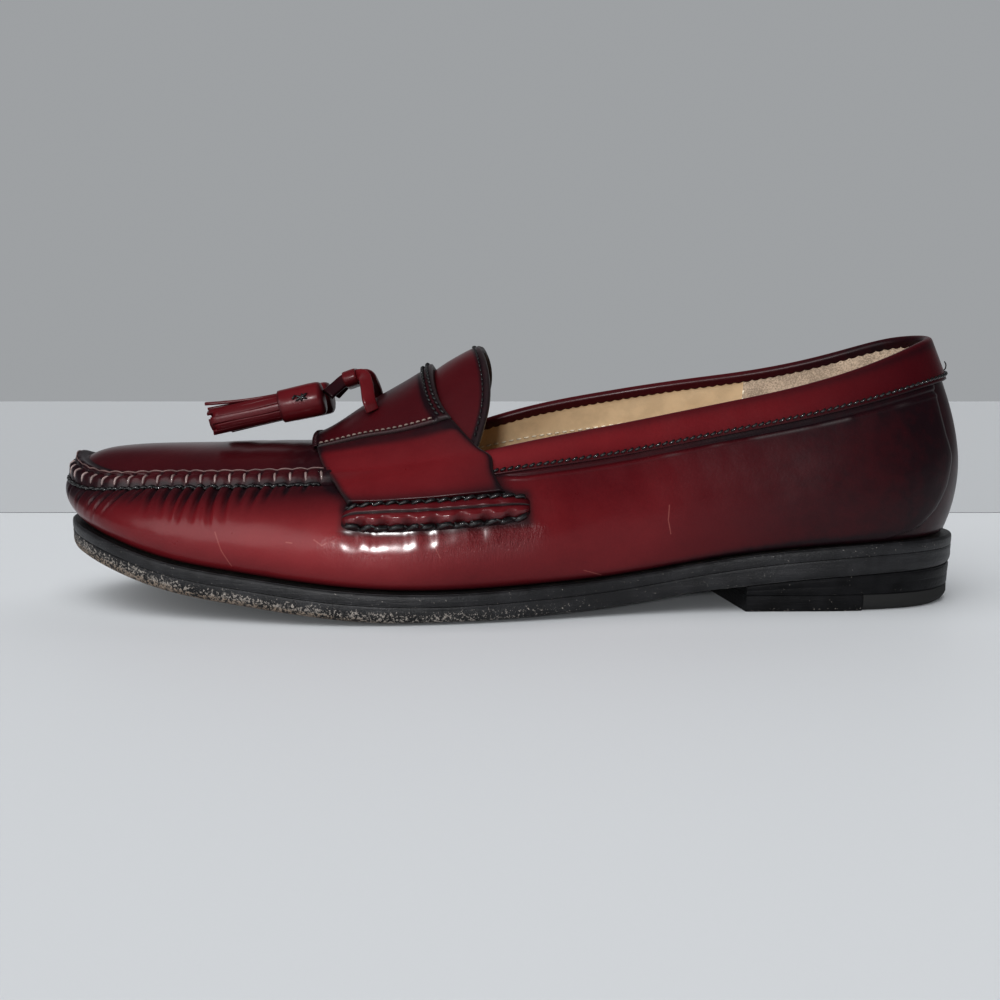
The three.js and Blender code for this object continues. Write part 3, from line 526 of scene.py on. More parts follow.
class Last:
    """The form of the foot on its sole, as functions of arrays, in metres.

    A turn of 0 to 0.5 goes along the outer side from toe to heel, 0.5 to 1 back along the inner.
    """

    def __init__(self, sizes):
        self.sizes = sizes
        table = np.array(LAST_SECTIONS)
        plan = table[:, :2] * (sizes.length, sizes.ball_width)
        steps = np.linalg.norm(np.roll(plan, -1, axis=0) - plan, axis=1)
        run = np.append(0.0, np.cumsum(steps))
        self.edge_length = run[HEEL_ROW]
        rest = run[-1] - run[HEEL_ROW]
        turns = np.where(run[:-1] <= run[HEEL_ROW], 0.5 * run[:-1] / run[HEEL_ROW],
                         0.5 + 0.5 * (run[:-1] - run[HEEL_ROW]) / rest)
        width = sizes.ball_width
        units = (sizes.ledge, width, 1.0, width, 1.0, width, sizes.instep_height)
        self.outline = spline(turns, plan, 1.0)
        self.columns = spline(turns, table[:, 2:] * units, 1.0)
        self.sole_edge = sizes.outsole + sizes.gap + sizes.midsole
        rise = sizes.heel_height - self.sole_edge
        line = np.array(SOLE_LINE)
        self.sole_line = spline(line[:, 0] * sizes.length,
                                line[:, 1] * sizes.toe_spring + line[:, 2] * rise)
        crown = np.array(CROWN)
        self.crown_rise = spline(crown[:, 0] * sizes.length, crown[:, 1] * sizes.instep_height)
        dense = self.outline(np.linspace(0, 1, 2000))
        low, high = (np.array(corner[:2]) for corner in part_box("midsole"))
        self.shift = np.append((low + high) / 2 - (dense.min(0) + dense.max(0)) / 2, 0.0)

    def sole_top(self, x):
        """Top of the sole over a plan place: the walking face plus the sole's own layers."""
        return self.sole_line(x) + self.sole_edge

    def outward(self, turn):
        """Direction in plan away from the sole's edge: its tangent turned a quarter."""
        small = 1e-4
        tangent = self.outline(np.asarray(turn) + small) - self.outline(np.asarray(turn) - small)
        return unit(np.stack([tangent[..., 1], -tangent[..., 0]], -1))

    def edge(self, turn, inward=0.0):
        """The sole's edge in plan, moved inward."""
        inward = np.asarray(inward, float)
        return self.outline(turn) - self.outward(turn) * inward[..., None]

    def wall(self, turn, height):
        """Side wall: a cubic Bezier curve from the feather line at 0 to the top line at 1."""
        turn, height = np.broadcast_arrays(np.asarray(turn, float), np.asarray(height, float))
        out = self.outward(turn)
        ledge, belly, belly_up, shoulder, shoulder_up, inset, rise = np.moveaxis(self.columns(turn), -1, 0)
        foot = self.edge(turn, ledge)
        top = self.edge(turn, inset)
        base = self.sole_top(foot[..., 0]) + self.sizes.gap
        a, b, c, d = (np.concatenate([plan, level[..., None]], -1) for plan, level in (
            (foot, base),
            (foot + out * belly[..., None], base + belly_up * rise),
            (top + out * shoulder[..., None], base + shoulder_up * rise),
            (top, base + rise),
        ))
        u = height[..., None]
        w = 1 - u
        return w ** 3 * a + 3 * w * w * u * b + 3 * w * u * u * c + u ** 3 * d

    def arch(self, place, across):
        """From the outer top line at -1 over the crown at 0 to the inner top line at 1."""
        place, across = np.broadcast_arrays(np.asarray(place, float), np.asarray(across, float))
        outer = self.wall(place / 2, 1.0)
        inner = self.wall(1 - place / 2, 1.0)
        middle = (outer + inner) / 2
        crown = self.sole_top(middle[..., 0]) + self.crown_rise(middle[..., 0]) - middle[..., 2]
        share = ((across + 1) / 2)[..., None]
        point = outer * (1 - share) + inner * share
        point[..., 2] += crown * (1 - np.abs(across) ** CROWN_FULLNESS)
        return point

    def over(self, place, height):
        """Arch and wall by one signed number: 0 crown, 1 top line, 2 strap foot, minus outside."""
        place, height = np.broadcast_arrays(np.asarray(place, float), np.asarray(height, float))
        tall = np.abs(height)
        side = np.where(height < 0, -1.0, 1.0)
        turn = np.where(side < 0, place / 2, 1 - place / 2)
        low = self.wall(turn, 1 - (np.maximum(tall, 1.0) - 1) * (1 - STRAP_FOOT))
        high = self.arch(place, np.clip(height, -1.0, 1.0))
        return np.where((tall > 1)[..., None], low, high)

    def plug_height(self, plan):
        """Height of the arch over plan points: place and share across are found by iteration."""
        grid = np.linspace(0.0, 0.62, 400)
        middle = (self.wall(grid / 2, 1.0) + self.wall(1 - grid / 2, 1.0)) / 2
        place = np.interp(plan[..., 0], middle[:, 0], grid)
        for _ in range(8):
            outer = self.wall(place / 2, 1.0)
            inner = self.wall(1 - place / 2, 1.0)
            span = np.maximum(inner[..., 1] - outer[..., 1], 1e-5)
            share = np.clip((plan[..., 1] - outer[..., 1]) / span, 0, 1)
            x = outer[..., 0] * (1 - share) + inner[..., 0] * share
            place = np.clip(place + (plan[..., 0] - x) / (0.98 * self.sizes.length), 0, 0.62)
        return self.arch(place, 2 * share - 1)[..., 2]


# Meshes

def quads_of(rows, columns, wrap_rows=False, wrap_columns=False):
    """Corner numbers of the quads of a grid, its last row or column joined to the first if asked."""
    r = np.arange(rows if wrap_rows else rows - 1)
    c = np.arange(columns if wrap_columns else columns - 1)
    r, c = np.meshgrid(r, c, indexing="ij")
    r1, c1 = (r + 1) % rows, (c + 1) % columns
    corners = [r * columns + c, r1 * columns + c, r1 * columns + c1, r * columns + c1]
    return np.stack(corners, -1).reshape(-1, 4)


def volume_of(points, quads):
    """Volume inside closed quads: a sixth of the box product of each triangle's corners, summed."""
    a, b, c, d = (points[quads[:, corner]] for corner in range(4))
    return np.sum(a * np.cross(b, c)) / 6 + np.sum(a * np.cross(c, d)) / 6


def flat_values(values, shape):
    """Attributes of a grid's points, each repeated over the grid and laid out flat."""
    return {key: np.broadcast_to(value, shape).ravel() for key, value in values.items()}


class Piece:
    """Collects closed skins with the attributes of their points and makes one mesh of them."""

    def __init__(self, name):
        self.name = name
        self.points = []
        self.quads = []
        self.values = []
        self.count = 0

    def skin(self, parts):
        """Adds one closed skin of grids: (points, flipped, wrapped rows, wrapped columns, values)."""
        points, quads, flat, count = [], [], [], 0
        for grid, flipped, wrap_rows, wrap_columns, values in parts:
            rows, columns = grid.shape[:2]
            faces = quads_of(rows, columns, wrap_rows, wrap_columns) + count
            quads.append(faces[:, ::-1] if flipped else faces)
            points.append(grid.reshape(-1, 3))
            flat.append(flat_values(values, (rows, columns)))
            count += rows * columns
        self.add(np.concatenate(points), np.concatenate(quads),
                 {key: np.concatenate([part[key] for part in flat]) for key in flat[0]})

    def add(self, points, quads, values):
        """Adds points and closed quads, turned to face outward."""
        if volume_of(points - points.mean(0), quads) < 0:
            quads = quads[:, ::-1]
        self.points.append(points)
        self.quads.append(quads + self.count)
        self.values.append((len(points), values))
        self.count += len(points)

    def shell(self, outer, inner, **values):
        """Two grids of one size as a closed skin, joined round their rim."""
        values = {key: np.broadcast_to(value, outer.shape[:2]) for key, value in values.items()}
        parts = [(outer, False, False, False, values), (inner, True, False, False, values)]
        cuts = ((np.s_[0], False), (np.s_[-1], True), (np.s_[:, 0], True), (np.s_[:, -1], False))
        for cut, flipped in cuts:
            rim = {key: value[cut][None] for key, value in values.items()}
            parts.append((np.stack([inner[cut], outer[cut]]), flipped, False, False, rim))
        self.skin(parts)

    def stitches(self, line, ups, *sizes):
        """Adds a row of stitches along a line, by the sizes that stitch_row takes."""
        self.copies(stitch_row(line, ups, *sizes))

    def cut(self, last, colours, slot, *replaces):
        """Makes the piece of the polished leather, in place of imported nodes."""
        return self.make(last, polished_leather(colours), replaces)

    def sew(self, last, colours, thread, slot="leather"):
        """Makes the piece of one of the threads."""
        self.make(last, thread_material(colours, thread))

    def loop(self, rings, **values):
        """A closed tube: rings of points, joined round, that end in points or in flat caps."""
        self.skin([(rings, False, False, True, values)])

    def copies(self, rings, **values):
        """Many small closed tubes of one size: copies, rings, points of a ring, coordinates."""
        amount, rows, columns = rings.shape[:3]
        quads = quads_of(rows, columns, False, True)
        if volume_of(rings[0].reshape(-1, 3) - rings[0].mean((0, 1)), quads) < 0:
            quads = quads[:, ::-1]
        steps = np.arange(amount)[:, None, None] * rows * columns + self.count
        self.points.append(rings.reshape(-1, 3))
        self.quads.append((quads[None] + steps).reshape(-1, 4))
        self.values.append((amount * rows * columns, flat_values(values, rings.shape[:3])))
        self.count += amount * rows * columns

    def make(self, last, material, replaces=()):
        """Merges coinciding points, makes the object and puts it on the frame; burn stays in 0 to 1."""
        points = np.concatenate(self.points)
        quads = np.concatenate(self.quads)
        names = sorted({key for _, part in self.values for key in part})
        keys = np.round(points / MERGE).astype(np.int64)
        _, first, back = np.unique(keys, axis=0, return_index=True, return_inverse=True)
        quads = back.reshape(-1)[quads]
        differs = quads != np.roll(quads, 1, axis=1)
        sides = differs.sum(1)
        kept = sides > 2
        corners = quads[kept][differs[kept]]
        starts = np.append(0, np.cumsum(sides[kept])[:-1])
        mesh = bpy.data.meshes.new(self.name)
        mesh.vertices.add(len(first))
        mesh.vertices.foreach_set("co", (points[first] + last.shift).ravel())
        mesh.loops.add(len(corners))
        mesh.loops.foreach_set("vertex_index", corners)
        mesh.polygons.add(len(starts))
        mesh.polygons.foreach_set("loop_start", starts)
        mesh.update(calc_edges=True)
        for key in names:
            table = np.concatenate([part.get(key, np.zeros(count)) for count, part in self.values])[first]
            if key == "burn":
                table = np.clip(table, 0, 1)
            mesh.attributes.new(key, "FLOAT", "POINT").data.foreach_set("value", table.astype(np.float32))
        mesh.shade_smooth()
        mesh.materials.append(material)
        piece = bpy.data.objects.new(self.name, mesh)
        bpy.context.scene.collection.objects.link(piece)
        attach(piece, "root")
        if replaces:
            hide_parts(*replaces)
        return piece


def leaf(piece, points, low, high, rounding, normals=None, **values):
    """A sheet of leather from level low to level high over a grid, its upper edges rounded off.

    Near an edge the upper face comes down by a quarter circle of the rounding. Returns that face
    and its normals.
    """
    normals = normals_of(points) if normals is None else normals
    down, right = run_along(points, 0), run_along(points, 1)
    near = np.minimum.reduce([down, down[-1:] - down, right, right[:, -1:] - right])
    part = np.clip(1 - near / rounding, 0, 1)
    drop = np.minimum(rounding * (1 - np.sqrt(1 - part * part)), EDGE_SHARE * (high - low))
    outer = points + normals * (high - drop)[..., None]
    inner = points + normals * np.broadcast_to(low, drop.shape)[..., None]
    piece.shell(outer, inner, **values)
    return outer, normals


def strands(paths, ups, radius, sides=6, flat=1.0):
    """Threads along many short paths: a round section carried along each, closed at both ends."""
    tangents = unit(np.gradient(paths, axis=1))
    rights = unit(np.cross(tangents, ups))
    ups = np.cross(rights, tangents)
    share = np.linspace(-1, 1, paths.shape[1])
    swell = radius * np.sqrt(1 - share ** 6)
    angle = np.arange(sides) * TURN / sides
    ring = rights[:, :, None] * np.cos(angle)[:, None] + flat * ups[:, :, None] * np.sin(angle)[:, None]
    return paths[:, :, None] + ring * swell[None, :, None, None]


def stitch_row(line, ups, pitch, radius, share=0.8, slant=0.0, lift=0.5, steps=6):
    """Even stitches along a line: each a short thread that dives into the leather at its ends.

    Every stitch runs over its share of the pitch, its height follows 1 - u squared, and slant
    turns it sideways by that part of its length.
    """
    run = run_along(line)
    amount = max(1, int(round(run[-1] / pitch)))
    middle = (np.arange(amount) + 0.5) * run[-1] / amount
    u = np.linspace(-1, 1, steps)
    at = middle[:, None] + u * share * pitch / 2
    paths = along_line(at, run, line)
    up = unit(along_line(at, run, ups))
    aside = unit(np.cross(up, np.gradient(paths, axis=1)))
    paths = paths + aside * (u * slant * share * pitch / 2)[None, :, None]
    paths = paths + up * (radius * (lift + 1 - (1 + lift) * u * u))[None, :, None]
    return strands(paths, up, radius)


# Materials

class Wire:
    """Output socket of a shader node; its operators add the Math node that works them out."""

    def __init__(self, board, socket):
        self.board = board
        self.socket = socket

    def math(self, operation, first, second):
        """Adds a Math node of two values."""
        return self.board.node("ShaderNodeMath", {"operation": operation}, {0: first, 1: second})

    def __add__(self, other):
        return self.math("ADD", self, other)

    __radd__ = __add__

    def __sub__(self, other):
        return self.math("SUBTRACT", self, other)

    def __rsub__(self, other):
        return self.math("SUBTRACT", other, self)

    def __mul__(self, other):
        return self.math("MULTIPLY", self, other)

    __rmul__ = __mul__

    def __pow__(self, other):
        return self.math("POWER", self, other)

    def clipped(self):
        """The value kept between 0 and 1."""
        return self.math("MINIMUM", self.math("MAXIMUM", self, 0.0), 1.0)


# Sockets of the shader whose names aren't plain words
SOCKETS = {"specular_ior_level": "Specular IOR Level"}


class Board:
    """Node tree of one material or world, with one method that adds any node."""

    def __init__(self, owner):
        owner.use_nodes = True
        self.material = owner
        self.tree = owner.node_tree
        self.shader = self.tree.nodes.get("Principled BSDF") or self.tree.nodes["Background"]
        self.place = self.node("ShaderNodeTexCoord", output="Object")

    def node(self, kind, settings=None, inputs=None, output=0):
        """Adds a node with its settings, then its sockets' values or links; returns one output."""
        node = self.tree.nodes.new(kind)
        for key, value in (settings or {}).items():
            setattr(node, key, value)
        for key, value in (inputs or {}).items():
            self.feed(node.inputs[key], value)
        return Wire(self, node.outputs[output])

    def feed(self, socket, value):
        """Links a wire to a socket, or sets the socket to a number or colour."""
        if isinstance(value, Wire):
            self.tree.links.new(value.socket, socket)
        else:
            socket.default_value = value

    def set(self, **values):
        """Feeds the shader: base_color=..., roughness=... by the names of its sockets."""
        for key, value in values.items():
            self.feed(self.shader.inputs[SOCKETS.get(key) or key.replace("_", " ").title()], value)

    def attribute(self, name):
        """Value of one of the mesh's attributes."""
        return self.node("ShaderNodeAttribute", {"attribute_name": name}, output="Fac")

    def noise(self, size, detail=3.0, rough=0.5, stretch=(1.0, 1.0, 1.0)):
        """Noise of about the given size in metres, 0 to 1, finer along an axis where stretch is more."""
        at = self.place
        if stretch != (1.0, 1.0, 1.0):
            at = self.node("ShaderNodeMapping", {}, {"Vector": at, "Scale": stretch})
        sockets = {"Vector": at, "Scale": 1 / size, "Detail": detail, "Roughness": rough}
        return self.node("ShaderNodeTexNoise", {}, sockets)

    def vector(self, operation, first, second=None, output=0, **values):
        """Vector Math node of two vectors, or of one and a number as scale."""
        sockets = {0: first, **({} if second is None else {1: second}), **values}
        return self.node("ShaderNodeVectorMath", {"operation": operation}, sockets, output)

    def scratches(self, table):
        """1 on short lines seen from the outer side, by the distance to each line's nearest point."""
        seen = self.vector("MULTIPLY", self.place, (1.0, 0.0, 1.0))
        total = 0.0
        for x0, z0, x1, z1, width in table:
            start = (x0 * MM, 0.0, z0 * MM)
            way = ((x1 - x0) * MM, 0.0, (z1 - z0) * MM)
            size = way[0] ** 2 + way[2] ** 2
            away = self.vector("SUBTRACT", seen, start)
            share = self.vector("DOT_PRODUCT", away, [part / size for part in way], "Value").clipped()
            foot = self.vector("SCALE", way, Scale=share)
            near = self.vector("LENGTH", self.vector("SUBTRACT", away, foot), output="Value")
            total = self.step(near, width * MM, 0.3 * width * MM) + total
        across = self.vector("DOT_PRODUCT", self.place, (0.0, 1.0, 0.0), "Value")
        return (total * self.step(across, 0.0, -10 * MM)).clipped()

    def mix(self, share, first, second):
        """Colour between two, by a share."""
        return self.node("ShaderNodeMix", {"data_type": "RGBA"}, {0: share, 6: first, 7: second}, 2)

    def step(self, value, low, high):
        """Share of the way that a value has from low to high, smoothed at both ends."""
        sockets = {"Value": value, "From Min": low, "From Max": high}
        return self.node("ShaderNodeMapRange", {"interpolation_type": "SMOOTHSTEP"}, sockets)

    def bump(self, height, distance, **under):
        """Bump of a height, on top of another where normal=... names it."""
        under = {key.title(): value for key, value in under.items()}
        return self.node("ShaderNodeBump", {}, {"Height": height, "Distance": distance, **under})


def colour(rgb):
    """A colour property as the four numbers that a socket takes."""
    return (rgb[0], rgb[1], rgb[2], 1.0)


def shade(rgb, factor):
    """A colour property made lighter or darker."""
    return colour([part * factor for part in rgb])


def new_board(name):
    """Node tree of a new material."""
    return Board(bpy.data.materials.new(name))


def polished_leather(colours):
    """Brushed and polished oxblood leather, near black where its darkening attribute says so.

    That attribute carries burnished darkening and painted shade, the lightening one the lighter red of
    the leather's own tone and painted light, polish a thicker coat, brushed short upright strokes and
    raw the bare grey of a cut edge, on the beef roll's flap also a painted highlight; fine grain,
    faint pull lines and rubbed patches come from noise, and the scratches lie where the table says.
    """
    if "oxblood_leather" in bpy.data.materials:
        return bpy.data.materials["oxblood_leather"]
    board = new_board("oxblood_leather")
    cloud = board.noise(26 * MM, 3.0)
    mottle = board.noise(4 * MM, 4.0, 0.6)
    speckle = board.noise(0.8 * MM, 3.0, 0.7)
    # Lighter red of the leather's own tone, and painted light where the lightening attribute is raised
    glow = (board.attribute("glow") + 0.45 * (cloud - 0.5) + 0.14 * (mottle - 0.5)
            + 0.20 * (speckle - 0.5)).clipped()
    burn = board.attribute("burn")
    # Near black by burnished darkening and by painted shade, mottled by noise
    mottled_shade_and_burnish = (burn + 0.5 * (mottle - 0.5) * burn + 0.25 * (cloud - 0.5) * burn).clipped()
    red = board.mix(glow, colour(colours.oxblood_deep), colour(colours.oxblood_bright_and_lit))
    base = board.mix(mottled_shade_and_burnish, red, colour(colours.burnish_and_shade_tint))
    raw = (board.attribute("raw") * (0.4 + 1.2 * speckle)).clipped()
    base = board.mix(raw, base, colour(colours.raw_edge))
    scratch = board.scratches(SCRATCHES) * (0.35 + speckle)
    base = board.mix((scratch * 0.28).clipped(), base, colour(colours.scuff))
    rough = 0.24 + 0.12 * board.noise(7 * MM, 3.0) + 0.08 * mottled_shade_and_burnish + 0.20 * raw
    grain = board.noise(0.7 * MM, 2.0, 0.6)
    pull = board.noise(3.2 * MM, 2.0)
    fine = board.bump(grain, 0.025 * MM)
    brushed = board.noise(1.1 * MM, 3.0, 0.7, stretch=(1.4, 1.4, 0.5)) * board.attribute("brushed")
    fine = board.bump(brushed, 0.9 * MM, normal=fine)
    board.set(base_color=base, roughness=rough, specular_ior_level=0.24, coat_roughness=0.19,
              coat_weight=0.12 + 0.5 * board.attribute("polish"),
              normal=board.bump(pull, 0.05 * MM, normal=fine))
    return board.material


def plain_material(name, base, rough, bump_size, bump_depth, coat=0.0, spread=0.12):
    """A matt or waxed surface: colour mottled by noise, with an even fine bump."""
    if name in bpy.data.materials:
        return bpy.data.materials[name]
    board = new_board(name)
    patch = board.noise(6 * MM, 4.0, 0.6)
    tone = board.mix(board.step(patch, 0.35, 0.65), colour(base), shade(base, 1.0 - spread * 2))
    board.set(base_color=tone, roughness=rough, coat_weight=coat,
              normal=board.bump(board.noise(bump_size, 3.0, 0.6), bump_depth))
    return board.material


def sole_edge_material(colours, name="sole_edge"):
    """Black edge dressing over pressed leather, worn to pale and tan grains where wear says so."""
    if name in bpy.data.materials:
        return bpy.data.materials[name]
    board = new_board(name)
    heel = name == "heel_edge"
    wear = board.attribute("wear")
    grains = board.noise(0.8 * MM, 3.0, 0.75)
    patch = board.noise(7 * MM, 3.0)
    bare = board.step(grains + 0.16 * (patch - 0.5) + 0.24 * wear.clipped() ** 0.5, 0.70, 0.76)
    tan = board.mix(board.noise(0.7 * MM, 2.0), colour(colours.wear_tan), colour(colours.wear_pale))
    tan = board.mix(board.step(wear, 0.75, 1.0), colour(colours.wear_pale), tan)
    # Random patches of dust and rubbing, lightened as a painted sheen
    grey = board.mix(board.step(patch, 0.35, 0.75), colour(colours.edge_black),
                     shade(colours.edge_dust_and_sheen, 0.25) if heel else colour(colours.edge_dust_and_sheen))
    base = board.mix(bare * (0.25 + 0.75 * grains), grey, tan)
    rough = 0.40 + 0.35 * wear.clipped() + 0.15 * bare
    scratch = board.noise(1.2 * MM, 3.0, stretch=(0.12, 0.12, 1.6))
    fibres = board.bump(scratch, 0.14 * MM)
    board.set(base_color=base, roughness=rough, specular_ior_level=0.10 if heel else 0.35,
              normal=board.bump(grains * (wear + 0.15), 0.9 * MM, normal=fibres))
    return board.material


def lining_material(colours):
    """Smooth tan lining leather, faintly mottled."""
    return plain_material("lining_leather", colours.lining, 0.55, 1.4 * MM, 0.04 * MM, spread=0.06)


def suede_material(colours):
    """Beige suede with a short speckled nap."""
    board = new_board("heel_suede")
    nap = board.noise(0.55 * MM, 3.0, 0.7)
    worn = board.noise(8 * MM, 2.0)
    base = board.mix(board.step(nap + 0.4 * (worn - 0.5), 0.35, 0.65), colour(colours.suede),
                     shade(colours.suede, 0.55))
    board.set(base_color=base, roughness=0.95, sheen_weight=0.3, normal=board.bump(nap, 0.25 * MM))
    return board.material


def thread_material(colours, name):
    """Thread with a fuzzy bump, its wax as thick as THREAD_WAX says."""
    base = getattr(colours, name)
    return plain_material(name, base, 0.42, 0.35 * MM, 0.12 * MM, coat=THREAD_WAX[name], spread=0.2)


# Sizes and colours

def size(name, description, millimetres):
    """Property for a length, with its default in millimetres."""
    return bpy.props.FloatProperty(name=name, description=description, default=millimetres * MM,
                                   min=0.0, unit="LENGTH", precision=5)


def tint(name, description, rgb):
    """Property for a colour in linear light."""
    return bpy.props.FloatVectorProperty(name=name, description=description, default=rgb, size=3,
                                         min=0.0, max=1.0, subtype="COLOR")


class LoaferSizes(bpy.types.PropertyGroup):
    """Sizes of the shoe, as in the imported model, and those of its stitches."""

    length: size("Length", "Length of the sole from toe to heel", 298)
    ball_width: size("Ball width", "Width of the sole across the ball", 102.4)
    instep_height: size("Instep height", "Height that the sections' rises are shares of", 75)
    heel_height: size("Heel height", "Heel with the sole at the back", 22)
    toe_spring: size("Toe spring", "Height of the toe's walking face", 18.4)
    ledge: size("Ledge", "Width of the sole's ledge round the upper", 3.5)
    gap: size("Gap", "Clearance between stacked layers", 0.3)
    curved_gap: size("Curved gap", "Clearance between curved pieces", 0.5)
    outsole: size("Outsole", "Thickness of the outsole", 5.5)
    midsole: size("Midsole", "Thickness of the midsole", 3.4)
    insole: size("Insole", "Thickness of the insole", 2.6)
    top_piece: size("Top piece", "Thickness of the heel's top piece", 5.2)
    leather: size("Leather", "Thickness of the upper's leather", 1.2)
    wall: size("Wall", "Thickness of the upper with its lining", 2.2)
    saddle: size("Saddle", "Thickness of the saddle's leather", 1.9)
    tongue: size("Tongue", "Thickness of the tongue", 1.8)
    ridge: size("Moc ridge", "Height of the gathered seam round the toe", 2.6)
    stitch: size("Moc stitch", "Distance between the stitches of the gathered seam", 4.8)
    fine_stitch: size("Fine stitch", "Distance between the stitches of the collar seam", 2.2)
    band_step: size("Band step", "How far the collar band stands out from the quarter", 0.7)
    backstay_sink: size("Backstay sink", "How far the backstay lies under the quarters", 0.8)
    lace_width: size("Lace width", "Width of the flat laces", 3.4)
    tassel_length: size("Tassel length", "Length of a tassel with its cap", 38)
    cap_length: size("Cap length", "Length of a tassel's cap", 14.5)
    cap_radius: size("Cap radius", "Radius of a tassel's cap", 5.6)
    fringe_radius: size("Fringe radius", "Radius of a tassel's fringe", 4.5)
    knot_length: size("Keeper length", "Length of the keeper that gathers the laces", 4.5)


class LoaferColours(bpy.types.PropertyGroup):
    """Colours of the leathers, threads and sole, in linear light."""

    oxblood_deep: tint("Deep oxblood", "Leather in its darker parts", (0.060, 0.003, 0.006))
    # Bright oxblood: the lighter red of the leather's own tone, and the painted light low on the vamp and
    # quarter, on the beef roll and on the laces
    oxblood_bright_and_lit: tint("Bright oxblood", "Leather where it is rubbed light", (0.205, 0.019, 0.023))
    # Burnish: the near black of darkened seams and edges, and the painted shade in creases, grooves and round
    # overlapping pieces
    burnish_and_shade_tint: tint("Burnish", "Leather at seams and edges", (0.011, 0.004, 0.006))
    scuff: tint("Scuff", "Dry scratches in the leather", (0.42, 0.17, 0.14))
    raw_edge: tint("Raw edge", "Cut edge of the leather, waxed grey", (0.060, 0.052, 0.052))
    lining: tint("Lining", "Smooth leather inside the quarters", (0.62, 0.46, 0.29))
    suede: tint("Suede", "Nap inside the heel", (0.60, 0.48, 0.37))
    sock: tint("Sock", "Leather on the insole", (0.45, 0.30, 0.16))
    black_thread: tint("Black thread", "Thread of the outer seams", (0.010, 0.010, 0.011))
    raw_rim: tint("Raw rim", "Cut edge along the top of the gathered seam", (0.15, 0.09, 0.085))
    pale_thread: tint("Pale thread", "Worn thread of the saddle's panel", (0.20, 0.15, 0.13))
    # Moc thread: its own colour made paler to stand for glints of light on darker waxed thread, a painted
    # highlight
    moc_thread: tint("Moc thread", "Thick waxed thread round the toe", (0.30, 0.22, 0.21))
    lining_thread: tint("Lining thread", "Thread of the lining", (0.86, 0.79, 0.64))
    edge_black: tint("Edge black", "Dressing of the sole's edge", (0.010, 0.010, 0.011))
    # Edge grey: dust and rubbing in random patches, lightened as a painted sheen on the edge
    edge_dust_and_sheen: tint("Edge grey", "Dust and rubbing on the edge", (0.020, 0.020, 0.022))
    wear_tan: tint("Worn tan", "Leather where the edge is worn bare", (0.26, 0.17, 0.10))
    wear_pale: tint("Worn pale", "Pale grit and bare fibres of the edge", (0.34, 0.31, 0.28))
    rubber: tint("Rubber", "Rear of the heel's top piece", (0.011, 0.011, 0.012))
    floor: tint("Floor", "Pale floor", (0.59, 0.61, 0.63))


def make_each(context, *builders):
    """Calls the builders in order, each with the last, the sizes and the colours of the scene."""
    scene = context.scene
    last = Last(scene.loafer_sizes)
    for builder in builders:
        builder(last, scene.loafer_sizes, scene.loafer_colours)
    return {"FINISHED"}


# Upper

def turn_of(place, side):
    """Turn of a place from toe to heel, on the outer side at -1 or the inner side at 1."""
    return np.where(side < 0, place / 2, 1 - place / 2)


def wall_heights():
    """Heights of the wall's rows: closer together at the band's edge and near the top line."""
    marks, steps = np.array(WALL_ROWS).T
    return np.append(np.concatenate([np.linspace(low, high, int(count), endpoint=False)
                                     for low, high, count in zip(marks[:-1], marks[1:], steps[:-1])]), 1.0)


def level_line(value, want, *grids):
    """Where a value that grows up the rows reaches a wanted one in each column: the points there."""
    row = np.sum(value < want, axis=0).clip(1, len(value) - 1)
    column = np.arange(value.shape[1])
    low, high = value[row - 1, column], value[row, column]
    part = ((want - low) / np.where(high > low, high - low, 1.0))[:, None]
    return [grid[row - 1, column] * (1 - part) + grid[row, column] * part for grid in grids]


def picked(lines, column):
    """Points of lines, by numbers of columns with fractions: lines, columns, coordinates."""
    low = np.floor(column).astype(int).clip(0, lines.shape[1] - 2)
    part = (column - low)[:, None]
    return lines[:, low] * (1 - part) + lines[:, low + 1] * part


def puckers(down, run, place, side, sizes):
    """Folds below the moc seam: soft troughs at the table's places, deepest just under the seam.

    Each trough is a bell curve across, fades at its reach and leans forward as it goes down, bent
    by its square; half as high a swell lies on each side of it. Returns height and painted shade:
    dark in the troughs and tucks, lighter on the swells.
    """
    level, dark = np.zeros(down.shape), np.zeros(down.shape)
    for number, (at, reach, lean, depth, width) in enumerate(PUCKERS):
        shifted = at + np.where(side > 0, PUCKER_SHIFT * (-1) ** number, 0.0)
        share = np.clip(down / (reach * MM), 0, 1)
        middle = shifted - lean * MM * (0.4 * share + 0.6 * share * share) / sizes.length
        across = (place - middle) * sizes.length * EDGE_RATIO
        window = slope(down, -0.6, 1.2) * (1 - ramp(share, 0.3, 0.7))
        broad = PUCKER_BREADTH * width * MM
        trough = hump(across, broad)
        swell = hump(across - 1.6 * broad, broad) + hump(across + 1.6 * broad, broad)
        level -= window * PUCKER_DEPTH * depth * MM * (trough - 0.6 * swell)
        dark += window * (trough - 0.4 * swell)
    drift = 1.5 * ripple(run[..., None] * (1, 0, 0), 5, 20 * MM)
    tucks = crests(TURN * run / (TUCK_PITCH * MM) + drift, 2)
    tucks = tucks * slope(down, -0.6, 1.0) * (1 - smooth(down / (4.5 * MM)))
    return level - 0.16 * MM * tucks, dark + 0.5 * tucks


